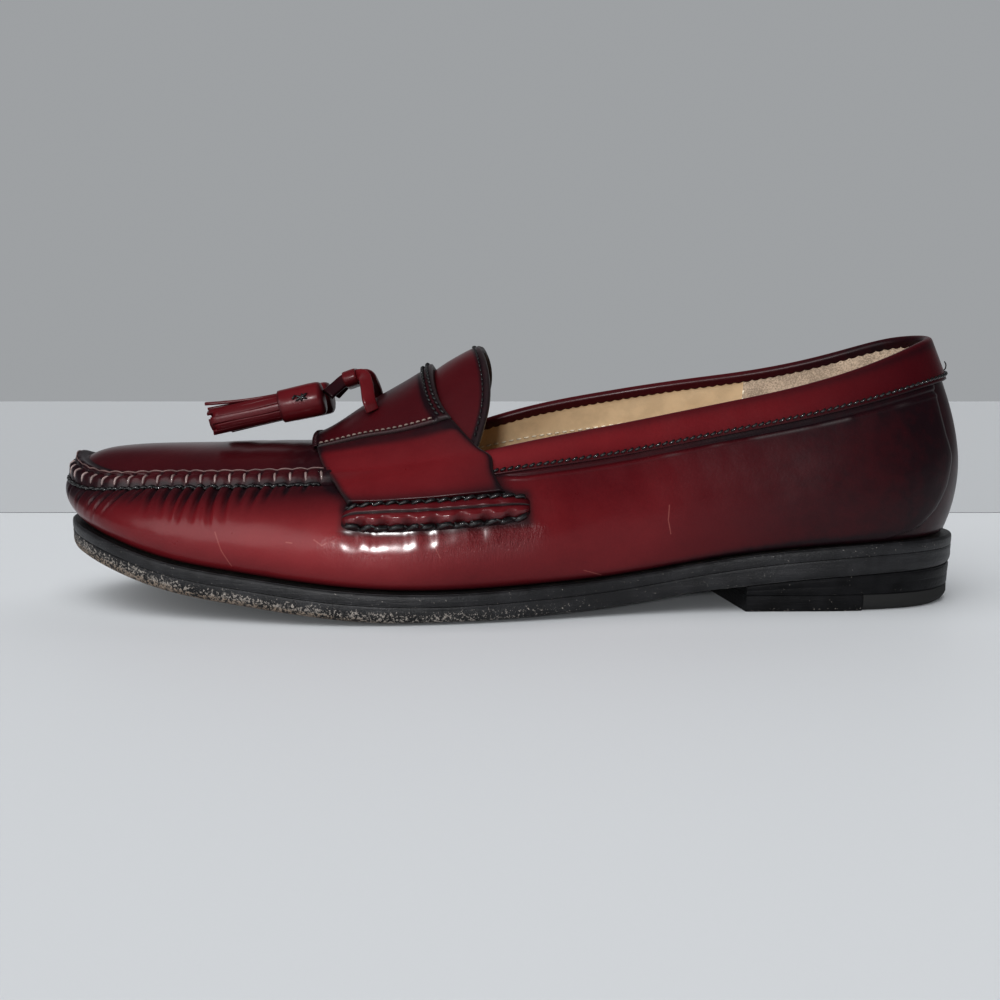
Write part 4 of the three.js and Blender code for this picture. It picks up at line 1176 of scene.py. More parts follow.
class Upper:
    """Grid of the vamp and quarters: rows go up the wall and over the top, columns once round.

    up is the distance above the top line, less than 0 on the wall; run the distance from the toe;
    ahead that to the backstay's seam; and under that below the collar band's edge.
    """

    def __init__(self, last):
        front, rear = UPPER_COLUMNS
        share = np.append(np.linspace(0, STRAP_PLACE, front, endpoint=False),
                          np.linspace(STRAP_PLACE, SEAM_END, rear))
        signed = np.append(-share[::-1], share[1:])
        self.side = np.where(signed <= 0, -1.0, 1.0)[None, :]
        column = np.abs(signed)[None, :]
        height = wall_heights()[:, None]
        seam = table_curve(HEEL_SEAM)(height)
        reach = seam - QUARTER_START
        pulled = QUARTER_START + (column - QUARTER_START) * reach / (SEAM_END - QUARTER_START)
        place = np.where(column < QUARTER_START, column, pulled)
        turn = turn_of(place, self.side)
        low = last.wall(turn, height * (1 - RIM_DROP * ramp(place, 0.50, 0.03)))
        top_place, top_turn = place[-1:], turn[-1:]
        inward = np.array([0.6, 1.2, 1.9, 2.6, 3.4, 4.3])[:, None] * MM
        rear_share = ramp(top_place, 0.335, 0.03)
        inward = inward * (1 - rear_share * 0.8)
        step = last.outward(top_turn) * inward[..., None]
        high = low[-1:] - np.concatenate([step, np.zeros(step.shape[:2] + (1,))], -1)
        arched = last.plug_height(high[..., :2])
        high[..., 2] = arched * (1 - rear_share) + low[-1:, :, 2] * rear_share
        self.form = np.concatenate([low, high])
        self.place = np.concatenate([place, np.repeat(top_place, len(inward), 0)])
        self.height = np.concatenate([np.broadcast_to(height, low.shape[:2]), np.ones(high.shape[:2])])
        rise = run_along(low, 0)
        self.up = np.concatenate([rise - rise[-1:], np.broadcast_to(inward, high.shape[:2])])
        standing = (RIDGE_STAND * slope(self.up, -7, 3) * (1 - rear_share))[..., None]
        self.normals = unit(normals_of(self.form) * (1 - standing) + standing * (0.0, 0.0, 1.0))
        line = run_along(low[-1:], 1)
        toe = np.argmin(np.abs(signed))
        self.run = np.abs(line - line[:, toe:toe + 1])
        self.ahead = (table_curve(HEEL_SEAM)(self.height) - self.place) * last.edge_length
        self.under = (BAND_FOOT - self.height) * WALL_RUN

    def level(self, sizes):
        """Height over the form: moc ridge with its gathers, puckers below, slight unevenness."""
        up, place = self.up, self.place
        fade = 1 - ramp(place, 0.335, 0.02)
        rise = ramp(up, -RIDGE_FOOT, 2.2 * MM) * (1 - slope(up, 1.3, 1.6))
        crest = 0.30 * MM * bell(up, 0.8, 0.4)
        down = -up - RIDGE_FOOT
        valley = 0.45 * MM * bell(down, 0.2, 0.8)
        phase = TURN * self.run / sizes.stitch
        pinch = crests(phase, 5)
        face = (1 - slope(down, -0.8, 1.2)) * (1 - slope(up, -0.2, 1.4))
        swell = (1 - crests(phase)) * 0.22 * MM * face
        wrinkled = 0.12 * MM * ripple(self.form, 6, 2.4 * MM) * face
        folds, self.fold_shade = puckers(down, self.run, place, self.side, sizes)
        level = sizes.ridge * rise + crest - valley - 0.60 * MM * pinch * face + swell + wrinkled + folds
        uneven = 0.10 * MM * ripple(self.form, 3, 28 * MM) + 0.03 * MM * ripple(self.form, 4, 9 * MM)
        tuck = 0.40 * MM * bell(self.under, 0.3, 0.5) - 0.22 * MM * bell(self.under, 1.7, 0.6)
        edge = ramp(place, 0.505, 0.01) * tuck
        return level * fade - edge + (uneven - self.roll_dip(sizes)) * smooth(self.height / 0.1)

    def by_roll(self):
        """Share of the beef roll's length from its middle, and distance below its lower edge."""
        along = (self.place - 0.5 * (ROLL["front"] + ROLL["rear"])) / (ROLL["rear"] - ROLL["front"])
        return along, (ROLL["low"] - self.height) * WALL_RUN

    def roll_dip(self, sizes):
        """The leather pulled down a little under the beef roll, with short tucks below it."""
        along, below = self.by_roll()
        beside = 1 - ramp(np.abs(along), 0.46, 0.08)
        turn = TURN * along * sizes.length * (ROLL["rear"] - ROLL["front"]) * EDGE_RATIO / (3.4 * MM)
        tuck = crests(turn + 1.6 * np.sin(0.37 * turn), 2)
        window = slope(below, -2, 2) * (1 - smooth(below / (6 * MM)))
        crease = slope(below, -2, 3) * (1 - slope(below, 2, 9))
        return beside * (0.12 * MM * window + (0.42 * MM + 0.10 * MM * np.sin(0.9 * turn)) * crease * tuck)

    def burn(self, last, sizes):
        """Darkening: painted shade at the moc seam, feather line, band's edge, beef roll and strap's edges,
        and darker tone at the backstay's seam, the toe, the upper vamp and towards the heel.
        """
        up, place, height = self.up, self.place, self.height
        dark = np.zeros(self.form.shape[:2])
        front = 1 - ramp(place, 0.34, 0.02)
        foot = up + RIDGE_FOOT
        # Moc seam: painted shade at its foot and under it, on the ridge's inner side, in the folds, and on
        # the ridge's face, most at the stitches
        dark += front * (bell(foot, 0, 1.1) + 0.50 * bell(foot, -3.5, 4.0))
        dark += front * (0.8 * ramp(up, 0.9 * MM, MM) + 0.42 * self.fold_shade)
        pinch = crests(TURN * self.run / sizes.stitch, 5)
        dark += front * 0.35 * ramp(foot, MM, MM) * (1 + pinch)
        # Painted shade in the feather line's crease; darker at the toe, on the upper part of the vamp and
        # towards the heel
        dark += 0.80 * (1 - smooth(height / 0.07))
        dark += 0.45 * (1 - smooth(place / 0.15)) + 0.25 * front * ramp(height, 0.45, 0.3)
        dark += 0.78 * ramp(place, 0.60, 0.22) + 0.30 * ramp(place, 0.84, 0.10)
        # Darker along the backstay's seam; painted shadow under the collar band's edge
        dark += 0.5 * (1 - smooth(self.ahead / (9 * MM)))
        below_band = np.maximum(self.under, 0)
        dark += ramp(place, 0.49, 0.02) * (0.45 * bell(below_band, 0, 0.7) + 0.15 * bell(below_band, 0, 5))
        # Painted shadow round the beef roll, then along both edges of the strap
        along, below = self.by_roll()
        beside = 1 - ramp(np.abs(along), 0.485, 0.05)
        above = 1 - ramp(height, ROLL["high"], 4 * MM / WALL_RUN)
        dark += 0.75 * beside * above * (1 - smooth(below / (2.6 * MM) + 0.1))
        level = 1 + (1 - height) / (1 - STRAP_FOOT)
        for column, width in ((1, 3.0), (2, 2.2)):
            strap = table_curve(SADDLE, column)(level)
            near = (strap - place) * last.edge_length
            dark += 0.65 * ramp(height, 0.55, 0.08) * bell(near, 0, width)
        return dark

    def glow(self):
        """Base tone, with painted light as lighter red low on the vamp and on the quarter, and lighter red on
        the ridge between stitches.
        """
        x = self.form[..., 0]
        vamp = bell(x, -58, 55) * hump(self.height - 0.30, 0.28)
        quarter = bell(x, 50, 55) * hump(self.height - 0.22, 0.36)
        ridge = 0.25 * bell(self.up, -1.8, 1.8)
        return 0.12 + 0.80 * vamp + 0.20 * quarter + ridge * (1 - ramp(self.place, 0.33, 0.02))

    def polish(self):
        """Polish, thick on the vamp and below the beef roll and worn off at the heel; brush strokes."""
        along, below = self.by_roll()
        flash = (1 - ramp(np.abs(along), 0.40, 0.25)) * bell(below, 4, 7)
        worn = 0.25 * hump(self.place - 0.2, 0.2) - 0.24 * ramp(self.place, 0.60, 0.15)
        return 1.6 * flash + worn, flash * slope(below, -1, 3)

    def raw(self):
        """Cut edges that show grey: the quarter's at the backstay and, worn, under the band."""
        worn = ramp(ripple(self.form, 12, 14 * MM), -0.3, 0.8) * ramp(self.place, 0.60, 0.1)
        rear = 0.7 * bell(self.ahead, 0.7, 0.7) * ramp(self.height, 0.01, 0.03)
        return rear + 0.75 * worn * bell(self.under, 1.7, 0.5) * (1 - ramp(self.place, 0.86, 0.04))


def build_vamp_and_quarters(last, sizes, colours):
    """Vamp and quarters in one wall, with the thread and the raw rim of the gathered seam."""
    upper = Upper(last)
    piece = Piece("vamp_and_quarters")
    level = upper.level(sizes)
    polish, brushed = upper.polish()
    outer, normals = leaf(piece, upper.form, -sizes.leather, level, 0.5 * MM, upper.normals,
                          burn=upper.burn(last, sizes), glow=upper.glow(), raw=upper.raw(),
                          polish=polish, brushed=brushed)
    piece.cut(last, colours, "leather", "upper")
    build_moc_stitches(last, sizes, colours, upper, outer, normals)


def build_moc_stitches(last, sizes, colours, upper, outer, normals):
    """Thread over the ridge at every pitch, the ridge's raw edge, and waxed thread along its foot."""
    thread, edge, foot = Piece("moc_stitches"), Piece("moc_raw_edge"), Piece("moc_foot_thread")
    run = upper.run[0]
    toe = np.argmin(run)
    front = np.flatnonzero(upper.place[-1] < RIDGE_CLOSE)
    want = np.linspace(1.0 * MM - RIDGE_FOOT, 0.1 * MM, 12)
    rows = [level_line(upper.up, at, outer, normals) for at in want]
    lines, ups = (np.stack([row[k] for row in rows]) for k in (0, 1))
    signed = np.where(np.arange(len(run)) < toe, -run, run)
    count = int(run[front].max() / sizes.stitch)
    marks = np.arange(-count, count + 1) * sizes.stitch
    marks = marks[(marks > signed[front[0]]) & (marks < signed[front[-1]])]
    column = np.interp(marks, signed, np.arange(len(run)))
    paths = np.moveaxis(picked(lines, column), 0, 1)
    up_way = unit(np.moveaxis(picked(ups, column), 0, 1))
    u = np.linspace(-1, 1, len(want))
    turned = np.where(marks < 0, 1.0, -1.0) * slope(np.abs(marks), 25, 40)
    lean = unit(np.cross(up_way, np.gradient(paths, axis=1))) * (0.55 * MM * u * turned[:, None])[..., None]
    lifted = up_way * (0.22 * MM * (1 - 3.4 * u ** 4))[None, :, None]
    thread.copies(strands(paths + lifted + lean, up_way, 0.46 * MM))
    thread.sew(last, colours, "moc_thread")
    crest, crest_up = level_line(upper.up, 0.75 * MM, outer, normals)
    wave = 0.10 * MM * np.cos(TURN * run / sizes.stitch) + 0.06 * MM * ripple(crest, 14, 3 * MM)
    crest = crest + crest_up * (0.10 * MM - wave)[:, None]
    path = crest[front]
    edge.loop(capped(carried(path, crest_up[front], strap_section(0.60 * MM, 0.30 * MM, 8)[None])))
    edge.sew(last, colours, "raw_rim")
    low, low_up = level_line(upper.up, -0.2 * MM - RIDGE_FOOT, outer, normals)
    for seam in MOC_FOOT_SEAMS:
        foot.stitches(low[front], low_up[front], *seam)
    foot.sew(last, colours, "black_thread")


def build_plug(last, sizes, colours):
    """Plug: the arch from the toe to under the saddle, its edge sunk behind the ridge."""
    place = by_row(0, 1, 90) ** 1.25 * PLUG_END
    across = np.sin(np.linspace(-1, 1, 110) * np.pi / 2)[None, :]
    points = last.arch(place, across * 0.985)
    turns = np.linspace(-0.21, 0.21, 900) % 1.0
    rim = last.wall(turns, 1.0)[:, :2]
    away = np.min(np.linalg.norm(points[..., None, :2] - rim, axis=-1), -1)
    edge = 1 - slope(away, 1.4, 2.6)
    level = -0.45 * MM * edge + 0.06 * MM * ripple(points, 8, 30 * MM)
    x, y = points[..., 0], points[..., 1]
    for at, aside, long, wide, depth in PLUG_CREASES:
        beside = x - at * MM - CREASE_SLANT * (y - aside * MM)
        level = level - depth * MM * bell(beside, 0, wide) * bell(y, aside, long)
    piece = Piece("plug")
    # Painted shade near the edge sunk behind the ridge, painted shadow of the saddle and tassels towards the
    # rear, and darker at the toe
    burn = 0.42 + 0.45 * edge + 0.25 * (1 - smooth(place / 0.1)) + 0.4 * ramp(place, 0.27, 0.04)
    leaf(piece, points, level - 1.3 * MM, level, 0.5 * MM, burn=burn, glow=0.02, polish=1.4)
    piece.cut(last, colours, "leather", "upper")


def build_backstay(last, sizes, colours):
    """Backstay: a panel behind both quarters, sunk under their edges."""
    share = by_column(-1, 1, 140)
    height = by_row(0, 0.84, 60)
    start = table_curve(HEEL_SEAM)(height) - 0.012
    place = 1 - np.abs(share) * (1 - start)
    points = last.wall(turn_of(place, np.where(share < 0, -1.0, 1.0)), height)
    piece = Piece("backstay")
    sink = -sizes.backstay_sink + 0.05 * MM * ripple(points, 11, 20 * MM)
    leaf(piece, points, sink - 0.7 * MM, sink, 0.3 * MM, burn=0.92, glow=0.0)
    piece.cut(last, colours, "leather", "upper")


def band_path(last, sizes, turn, inset, scallop):
    """Section of the collar band: up the outside, over the rim in a half circle, down the inside."""
    foot = BAND_FOOT + inset / WALL_RUN
    top = 1 - RIM_DROP
    rise = by_row(0, 1, 22)
    heights = foot + (top - foot) * rise
    outside = last.wall(turn, heights)
    normals = normals_of(last.wall(turn, by_row(foot, 1, 30)))
    way = np.interp(heights[:, 0], np.linspace(foot, 1, 30), np.arange(30.0))
    normals = np.stack([normals[int(round(row))] for row in way])
    outside = outside + normals * (sizes.band_step - inset)
    centre = last.wall(turn, np.array([[top]]))[0]
    way_out = normals[-1]
    way_up = unit(centre - last.wall(turn, np.array([[top - 0.02]]))[0])
    radius = (sizes.band_step + sizes.wall + BAND_TUCK) / 2 - inset
    hub = centre + way_out * (sizes.band_step - (sizes.band_step + sizes.wall + BAND_TUCK) / 2)
    angle = np.linspace(0, np.pi, 14)[1:, None, None]
    rim = hub + way_out * radius * np.cos(angle) + way_up * radius * np.sin(angle)
    down = np.linspace(0, 1, 8)[1:, None, None] * (scallop - inset)[..., None]
    inside = rim[-1] - way_up * down
    return np.concatenate([outside, rim, inside])


def build_collar_band(last, sizes, colours):
    """Collar band round the mouth; its lower edge lies on the quarters, its inner edge is scalloped."""
    outer = np.linspace(BAND_START, 1, BAND_COLUMNS, endpoint=False)
    place = np.append(outer, 1 + np.linspace(0, 1 - BAND_START, BAND_COLUMNS + 1))
    turn = (place / 2)[None, :]
    line = last.wall(turn, 1.0)[0]
    run = run_along(line)
    scallop = 1.5 * MM + 0.6 * MM * np.abs(np.sin(np.pi * run / (3.1 * MM))) ** 0.7
    points = band_path(last, sizes, turn, 0.0, scallop[None, :])
    inner = band_path(last, sizes, turn, BAND_LEATHER, scallop[None, :])
    down = run_along(points, 0)
    ends = np.minimum(run, run[-1] - run)[None, :]
    near = np.clip(1 - np.minimum(down, ends) / (0.5 * MM), 0, 1)
    drop = 0.45 * MM * (1 - np.sqrt(1 - near ** 2))
    share = (drop / BAND_LEATHER)[..., None]
    points = points * (1 - share) + inner * share
    # Darker at the lower edge and round the heel, painted shade on its inside, and darker along its rim
    burn = 0.75 * bell(down, 0, 1.3) + 0.42 * smooth((0.30 - np.abs(1 - place)) / 0.22)
    burn = burn + 0.5 * slope(down - down[-1:], -6, 3)
    burn = burn + 0.35 * bell(down - 0.62 * down[-1:], 0, 1.5)
    piece = Piece("collar_band")
    front = 1 - ramp(np.minimum(place, 2 - place), 0.65, 0.25)
    glow = 0.12 + 0.30 * bell(down, 6, 5) * front
    polish = -0.24 * smooth((0.40 - np.abs(1 - place)) / 0.15)
    piece.shell(points, inner, burn=burn, glow=glow, polish=np.broadcast_to(polish, burn.shape))
    piece.cut(last, colours, "leather", "upper")
    ups = unit(points - inner)
    row = np.searchsorted(down[:, 0], COLLAR_IN)
    thread = Piece("collar_seam_thread")
    kept = slice(8, -8)
    thread.stitches(points[row, kept], ups[row, kept], sizes.fine_stitch, *COLLAR_SEAM)
    rear = len(run) // 2
    at = points[row, rear - 1] + np.array(LOOSE_THREAD) * MM
    loose = catmull_rom(np.vstack([points[row, rear - 1:rear], at]), 20)[None]
    thread.copies(strands(loose, np.broadcast_to((0.0, -1.0, 0.2), loose.shape), 0.22 * MM))
    thread.sew(last, colours, "black_thread")


def build_lining(last, sizes, colours):
    """Lining: tan leather in the quarters, suede round the heel, both behind the band's edge."""
    thread = Piece("lining_thread")
    for name, first, final, material in (
        ("quarter_lining_outer", 0.40, LINING_SEAM, lining_material(colours)),
        ("quarter_lining_inner", 2 - LINING_SEAM, 1.60, lining_material(colours)),
        ("heel_lining", LINING_SEAM - 0.01, 2 - LINING_SEAM + 0.01, suede_material(colours)),
    ):
        place = by_column(first, final, 120)
        height = by_row(0.03, 0.972, 46)
        points = last.wall(place / 2, height)
        deep = -sizes.wall + (-0.08 if name == "heel_lining" else 0.20) * MM
        sag = 0.12 * MM * ripple(points, 21, 16 * MM)
        piece = Piece(name)
        normals = normals_of(points)
        outer = points + normals * (deep + 0.5 * MM)
        inner = points + normals * (deep + sag)[..., None]
        piece.shell(outer, inner)
        piece.make(last, material)
        if name != "heel_lining":
            rise = run_along(points[:, points.shape[1] // 2])
            row = np.argmin(np.abs(rise[-1] - rise - LINING_IN))
            edge = -4 if name.endswith("outer") else 3
            for line in (np.s_[row], np.s_[:-4, edge]):
                thread.stitches(inner[line], -normals[line], *LINING_THREAD_SEAM)
    thread.sew(last, colours, "lining_thread", "lining")
    place = by_row(0.0, 0.43, 70)
    across = by_column(-1, 1, 60)
    top = last.arch(place, across * 0.99)
    piece = Piece("vamp_lining")
    normals = normals_of(top)
    piece.shell(top - normals * 1.5 * MM, top - normals * 2.3 * MM)
    signed = by_column(-0.43, 0.43, 150)
    height = by_row(0.02, 1, 26)
    side = last.wall(turn_of(np.abs(signed), np.where(signed < 0, -1.0, 1.0)), height)
    normals = normals_of(side)
    piece.shell(side - normals * 1.35 * MM, side - normals * 2.1 * MM)
    piece.make(last, lining_material(colours))


# Saddle

def build_tongue(last, sizes, colours):
    """Tongue behind the plug as far as its free edge, which has a dark stitched border."""
    across = by_column(-1, 1, 90)
    front = PLUG_END + sizes.curved_gap / last.edge_length
    end = table_spline(TONGUE_EDGE)(np.abs(across))
    share = by_row(0, 1, 60)
    points = last.arch(front + (end - front) * share, across * 0.993)
    back = run_along(points, 0)
    border = back[-1:] - back
    piece = Piece("tongue")
    burn = 0.95 * (1 - slope(border, 2.0, 1.6)) + 0.38 + 0.35 * bell(border, 34, 14)
    outer, normals = leaf(piece, points, -sizes.tongue, 0.04 * MM * ripple(points, 31, 12 * MM), 0.6 * MM,
                          burn=burn, glow=0.14, raw=0.30 * bell(border, 0, 1.2))
    piece.cut(last, colours, "leather", "tongue")
    row = np.argmin(np.abs(border[:, border.shape[1] // 2] - TONGUE_IN))
    thread = Piece("tongue_edge_thread")
    thread.stitches(outer[row, 3:-3], normals[row, 3:-3], *TONGUE_SEAM)
    thread.sew(last, colours, "black_thread")


def saddle_points(last, share, height):
    """Points of the saddle at a share of the way from its front to its rear edge, by height."""
    front, rear = (table_spline(SADDLE, column)(np.abs(height)) for column in (1, 2))
    return last.over(front + (rear - front) * share, height)


def build_straps(last, sizes, colours):
    """Side straps of the saddle, from the panel's seam down under the beef roll."""
    for side, side_name in SIDES:
        share = by_row(0, 1, 70)
        low = table_spline(PANEL_SEAM)(share) - 0.02
        height = low + (2.0 - low) * by_column(0, 1, 90)
        points = softened(saddle_points(last, share, side * height), 6)
        down, along = run_along(points, 1), run_along(points, 0)
        top, fore, aft, foot = down, along, along[-1:] - along, down[:, -1:] - down
        # Painted shadow under the panel's seam, then darker along the front, the rear and the foot
        burn = 0.80 * (1 - slope(top, 3.6, 3.4)) + 0.9 * bell(fore, 0, 1.3)
        burn = burn + 0.85 * bell(aft, 0, 1.6) + 0.6 * bell(foot, 0, 2.5) + 0.30 * bell(aft, 0, 10)
        glow = 0.10 + 0.28 * bell(top, 17, 13)
        piece = Piece(f"strap_{side_name}")
        high = sizes.curved_gap + sizes.saddle + 0.10 * MM * ripple(points, 41 + side, 18 * MM)
        high = high - 0.75 * MM * (1 - slope(top, 0.6, 1.2))
        leaf(piece, points, sizes.curved_gap, high, 0.8 * MM, burn=burn, glow=glow,
             raw=0.35 * bell(fore, 0, 0.5) + 0.35 * bell(aft, 0, 0.5))
        piece.cut(last, colours, "leather", piece.name)


def build_panel(last, sizes, colours):
    """Centre panel of the saddle with its seams, bound front edge and doubled rear edge."""
    rows, columns = PANEL_GRID
    share = by_row(0, 1, rows)
    height = by_column(-1, 1, columns) * (table_spline(PANEL_SEAM)(share) - 0.006)
    points = saddle_points(last, share, height)
    along = run_along(points, 0)
    aft = along[-1:] - along
    aside = run_along(points, 1)
    flank = np.minimum(aside, aside[:, -1:] - aside)
    band = 1 - slope(aft, 3.6, 0.7)
    groove = 0.45 * MM * bell(aft, 4.3, 0.5) - 0.30 * MM * band
    high = sizes.curved_gap + sizes.saddle + 0.10 * MM - groove + 0.06 * MM * ripple(points, 51, 15 * MM)
    # Darker at the front edge, painted shade in the groove before the doubled rear edge, darker at that edge,
    # the sides and the crown
    burn = 0.46 + 0.5 * bell(along, 0, 3) + 0.6 * bell(aft, 4.3, 1.0) + 0.25 * band
    burn = burn + 0.4 * bell(aft, 0, 1.2) + 0.30 * bell(flank, 0, 1.5) + 0.35 * hump(height, 0.35)
    piece = Piece("saddle_panel")
    outer, normals = leaf(piece, points, sizes.curved_gap, high, 0.45 * MM, burn=burn, glow=0.10,
                          raw=0.4 * bell(flank, 0, 0.5) + 0.4 * bell(aft, 0, 0.6))
    piece.cut(last, colours, "dark_leather", "saddle_panel")
    pale = Piece("panel_seam_thread")
    middle = columns // 2
    near = np.argmin(np.abs(flank[rows // 2, :middle] - PANEL_SIDE_IN))
    for column in (near, columns - 1 - near):
        pale.stitches(outer[2:-8, column], normals[2:-8, column], *PANEL_SIDE_SEAM)
    pale.sew(last, colours, "pale_thread", "dark_leather")
    dark = Piece("panel_edge_thread")
    for distance in PANEL_REAR_IN:
        row = np.argmin(np.abs(aft[:, middle] - distance))
        dark.stitches(outer[row, 2:-2], normals[row, 2:-2], *PANEL_REAR_SEAM)
    dark.sew(last, colours, "black_thread", "dark_leather")
    build_binding(last, sizes, colours, points, normals)


def build_binding(last, sizes, colours, points, normals):
    """Whipped front edge of the panel: slanted turns of leather cord, side by side along the edge."""
    line = points[0] + normals[0] * (sizes.curved_gap + 0.55 * sizes.saddle)
    run = run_along(line)
    ahead = unit(points[0] - points[1])
    turns = np.arange(0, run[-1], 1.3 * MM)
    angle = np.linspace(-0.25 * np.pi, 1.15 * np.pi, 10)
    at = turns[:, None] + 0.9 * MM * (angle / np.pi)[None, :]
    centre, fore, up = (along_line(at, run, values) for values in (line, ahead, normals[0]))
    radial = fore * np.sin(angle)[None, :, None] + up * np.cos(angle)[None, :, None]
    paths = centre + radial * 1.10 * MM
    piece = Piece("panel_binding")
    piece.copies(strands(paths, radial, 0.50 * MM, sides=7, flat=0.8), burn=0.80, glow=0.0)
    piece.cut(last, colours, "dark_leather")


# Beef rolls

def roll_profile(up):
    """Section of a beef roll: seam valley, gathered lower roll, and the flap's edge over it."""
    return np.interp(up, ROLL_SECTION[0], np.array(ROLL_SECTION[1]) * MM)


def build_beef_rolls(last, sizes, colours):
    """Rolled tubes along the straps' feet: section by roll_profile, ends drawn in, pulled by stitches."""
    rng = np.random.default_rng(90)
    for side, side_name in SIDES:
        up = by_row(0, 1, 54)
        share = by_column(0, 1, 230)
        full = 1 - np.abs(2 * share - 1) ** 7
        middle = 0.5 * (ROLL["low"] + ROLL["high"]) + 0.004 * np.sin(np.pi * share)
        height = middle + (ROLL["high"] - ROLL["low"]) * (up - 0.5) * (0.42 + 0.58 * full ** 0.6)
        place = ROLL["front"] + (ROLL["rear"] - ROLL["front"]) * share
        points = last.wall(turn_of(place, side), height)
        along = run_along(points, 1)
        drift = 0.7 * np.sin(along[:1] / (11 * MM)) + 0.5 * up
        puff = TURN * along / (PUFF_PITCH * MM) + drift
        pinch = crests(puff, 2)
        tuck = crests(TURN * along / (FLAP_PITCH * MM) + drift, 2)
        ends = full ** 0.5
        level = roll_profile(up) * ends
        level = level - 2.1 * MM * pinch * hump(up - 0.19, 0.19) * ends
        level = level - 0.55 * MM * tuck * hump(up - 0.90, 0.12) * ends
        level = np.maximum(level + 0.16 * MM * ripple(points, 61 + side, 5 * MM) * ends, 0.15 * MM)
        # Darker at the lower seam, painted shade in the slit under the flap, darker at the upper seam, then
        # painted shade in the gathers, and darker at both ends
        burn = 0.8 * hump(up - 0.04, 0.10) + 0.75 * hump(up - 0.585, 0.03) + 0.75 * hump(up - 0.95, 0.09)
        burn = burn + 0.55 * pinch * hump(up - 0.12, 0.2) + 0.5 * (1 - ends) + 0.18
        piece = Piece(f"beef_roll_{side_name}")
        # Painted highlight: lighter red along the crest of the lower roll; the grey line on the flap's edge
        # is its cut edge and a painted highlight on the fold
        outer, normals = leaf(piece, points, 0.05 * MM, level, 0.5 * MM, burn=burn,
                              glow=0.15 + 0.35 * hump(up - 0.35, 0.15), raw=0.6 * hump(up - 0.60, 0.02),
                              polish=1.3 * (1 - pinch) * hump(up - 0.32, 0.18))
        piece.cut(last, colours, "leather", piece.name)
        thread = Piece(f"roll_thread_{side_name}")
        for row, cut, seam in ROLL_SEAMS:
            line = outer[row, cut:-cut] + rng.normal(0, 0.09 * MM, 3)
            thread.stitches(line, normals[row, cut:-cut], *seam)
        thread.sew(last, colours, "black_thread")


# Laces and tassels

def catmull_rom(points, count):
    """Centripetal Catmull-Rom curve through the points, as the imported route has."""
    points = np.asarray(points, float)
    padded = np.vstack([2 * points[0] - points[1], points, 2 * points[-1] - points[-2]])
    knots = np.append(0, np.cumsum(np.linalg.norm(np.diff(padded, axis=0), axis=1) ** 0.5))
    spans = len(points) - 1
    u = np.linspace(0, spans, count)
    i = np.minimum(u.astype(int), spans - 1)
    t = knots[i + 1] + (u - i) * (knots[i + 2] - knots[i + 1])

    def blend(a, b, ta, tb):
        """Point on the line from a at ta to b at tb."""
        share = ((t - ta) / (tb - ta))[:, None]
        return a * (1 - share) + b * share

    t0, t1, t2, t3 = (knots[i + k] for k in range(4))
    p0, p1, p2, p3 = (padded[i + k] for k in range(4))
    a1, a2, a3 = blend(p0, p1, t0, t1), blend(p1, p2, t1, t2), blend(p2, p3, t2, t3)
    b1, b2 = blend(a1, a2, t0, t2), blend(a2, a3, t1, t3)
    return blend(b1, b2, t1, t2)


def carried(path, wide_way, section):
    """A closed section carried along a path, its first axis turned to wide_way."""
    tangents = unit(np.gradient(path, axis=0))
    wide = unit(wide_way - tangents * np.sum(wide_way * tangents, -1, keepdims=True))
    thick = np.cross(tangents, wide)
    return path[:, None] + wide[:, None] * section[..., 0:1] + thick[:, None] * section[..., 1:2]


def squared(wave):
    """A sine or cosine with its turns made square: its sign times its size to the power 0.4."""
    return np.sign(wave) * np.abs(wave) ** 0.4


def strap_section(width, thick, sides=16):
    """Rounded rectangle: a superellipse of power 5."""
    angle = np.arange(sides) * TURN / sides + 0.01
    return np.stack([squared(np.cos(angle)) * width / 2, squared(np.sin(angle)) * thick / 2], -1)


def capped(rings):
    """Rings with both ends drawn to their middles, so that the tube is closed."""
    first, final = rings[:1].mean(1, keepdims=True), rings[-1:].mean(1, keepdims=True)
    ends = [np.broadcast_to(end, rings[:1].shape) for end in (first, final)]
    return np.concatenate([ends[0], rings, ends[1]])


def build_laces_and_tassels(last, sizes, colours):
    """Makes the keeper and both tassels, then the laces."""
    keeper = build_keeper(last, sizes, colours)
    tassels = build_tassels(last, sizes, colours)
    build_laces(last, sizes, colours, tassels)


def build_laces(last, sizes, colours, tassels):
    """Flat laces from the panel's holes through the keeper to the tassels, flat side out."""
    for (side, side_name), tassel in zip(SIDES, tassels):
        route = np.array(LACE_ROUTES[side_name]) * MM
        path = catmull_rom(route, 60)
        share = by_row(0, 1, 60)
        wide = np.cross(unit(np.gradient(path, axis=0)), (0.0, 1.0, 0.0)) + (0.0, 0.45 * side, 0.0)
        section = strap_section(LACE_SWELL * sizes.lace_width, LACE_THICK)[None]
        rings = carried(path, softened(wide, 3, axis=0), section)
        piece = Piece(f"lace_{side_name}")
        dark = np.concatenate([share[:1], share, share[-1:]])
        # Painted shade: darker towards the tassel; painted light: lighter red along the first half, from the
        # panel's hole
        piece.loop(capped(rings), burn=0.20 + 0.65 * ramp(dark, 0.62, 0.2),
                   glow=0.35 * (1 - ramp(dark, 0.5, 0.2)))
        lace = piece.cut(last, colours, "dark_leather", piece.name)
        knots = [tuple(point + last.shift) for point in path[::3]] + [tuple(path[-1] + last.shift)]


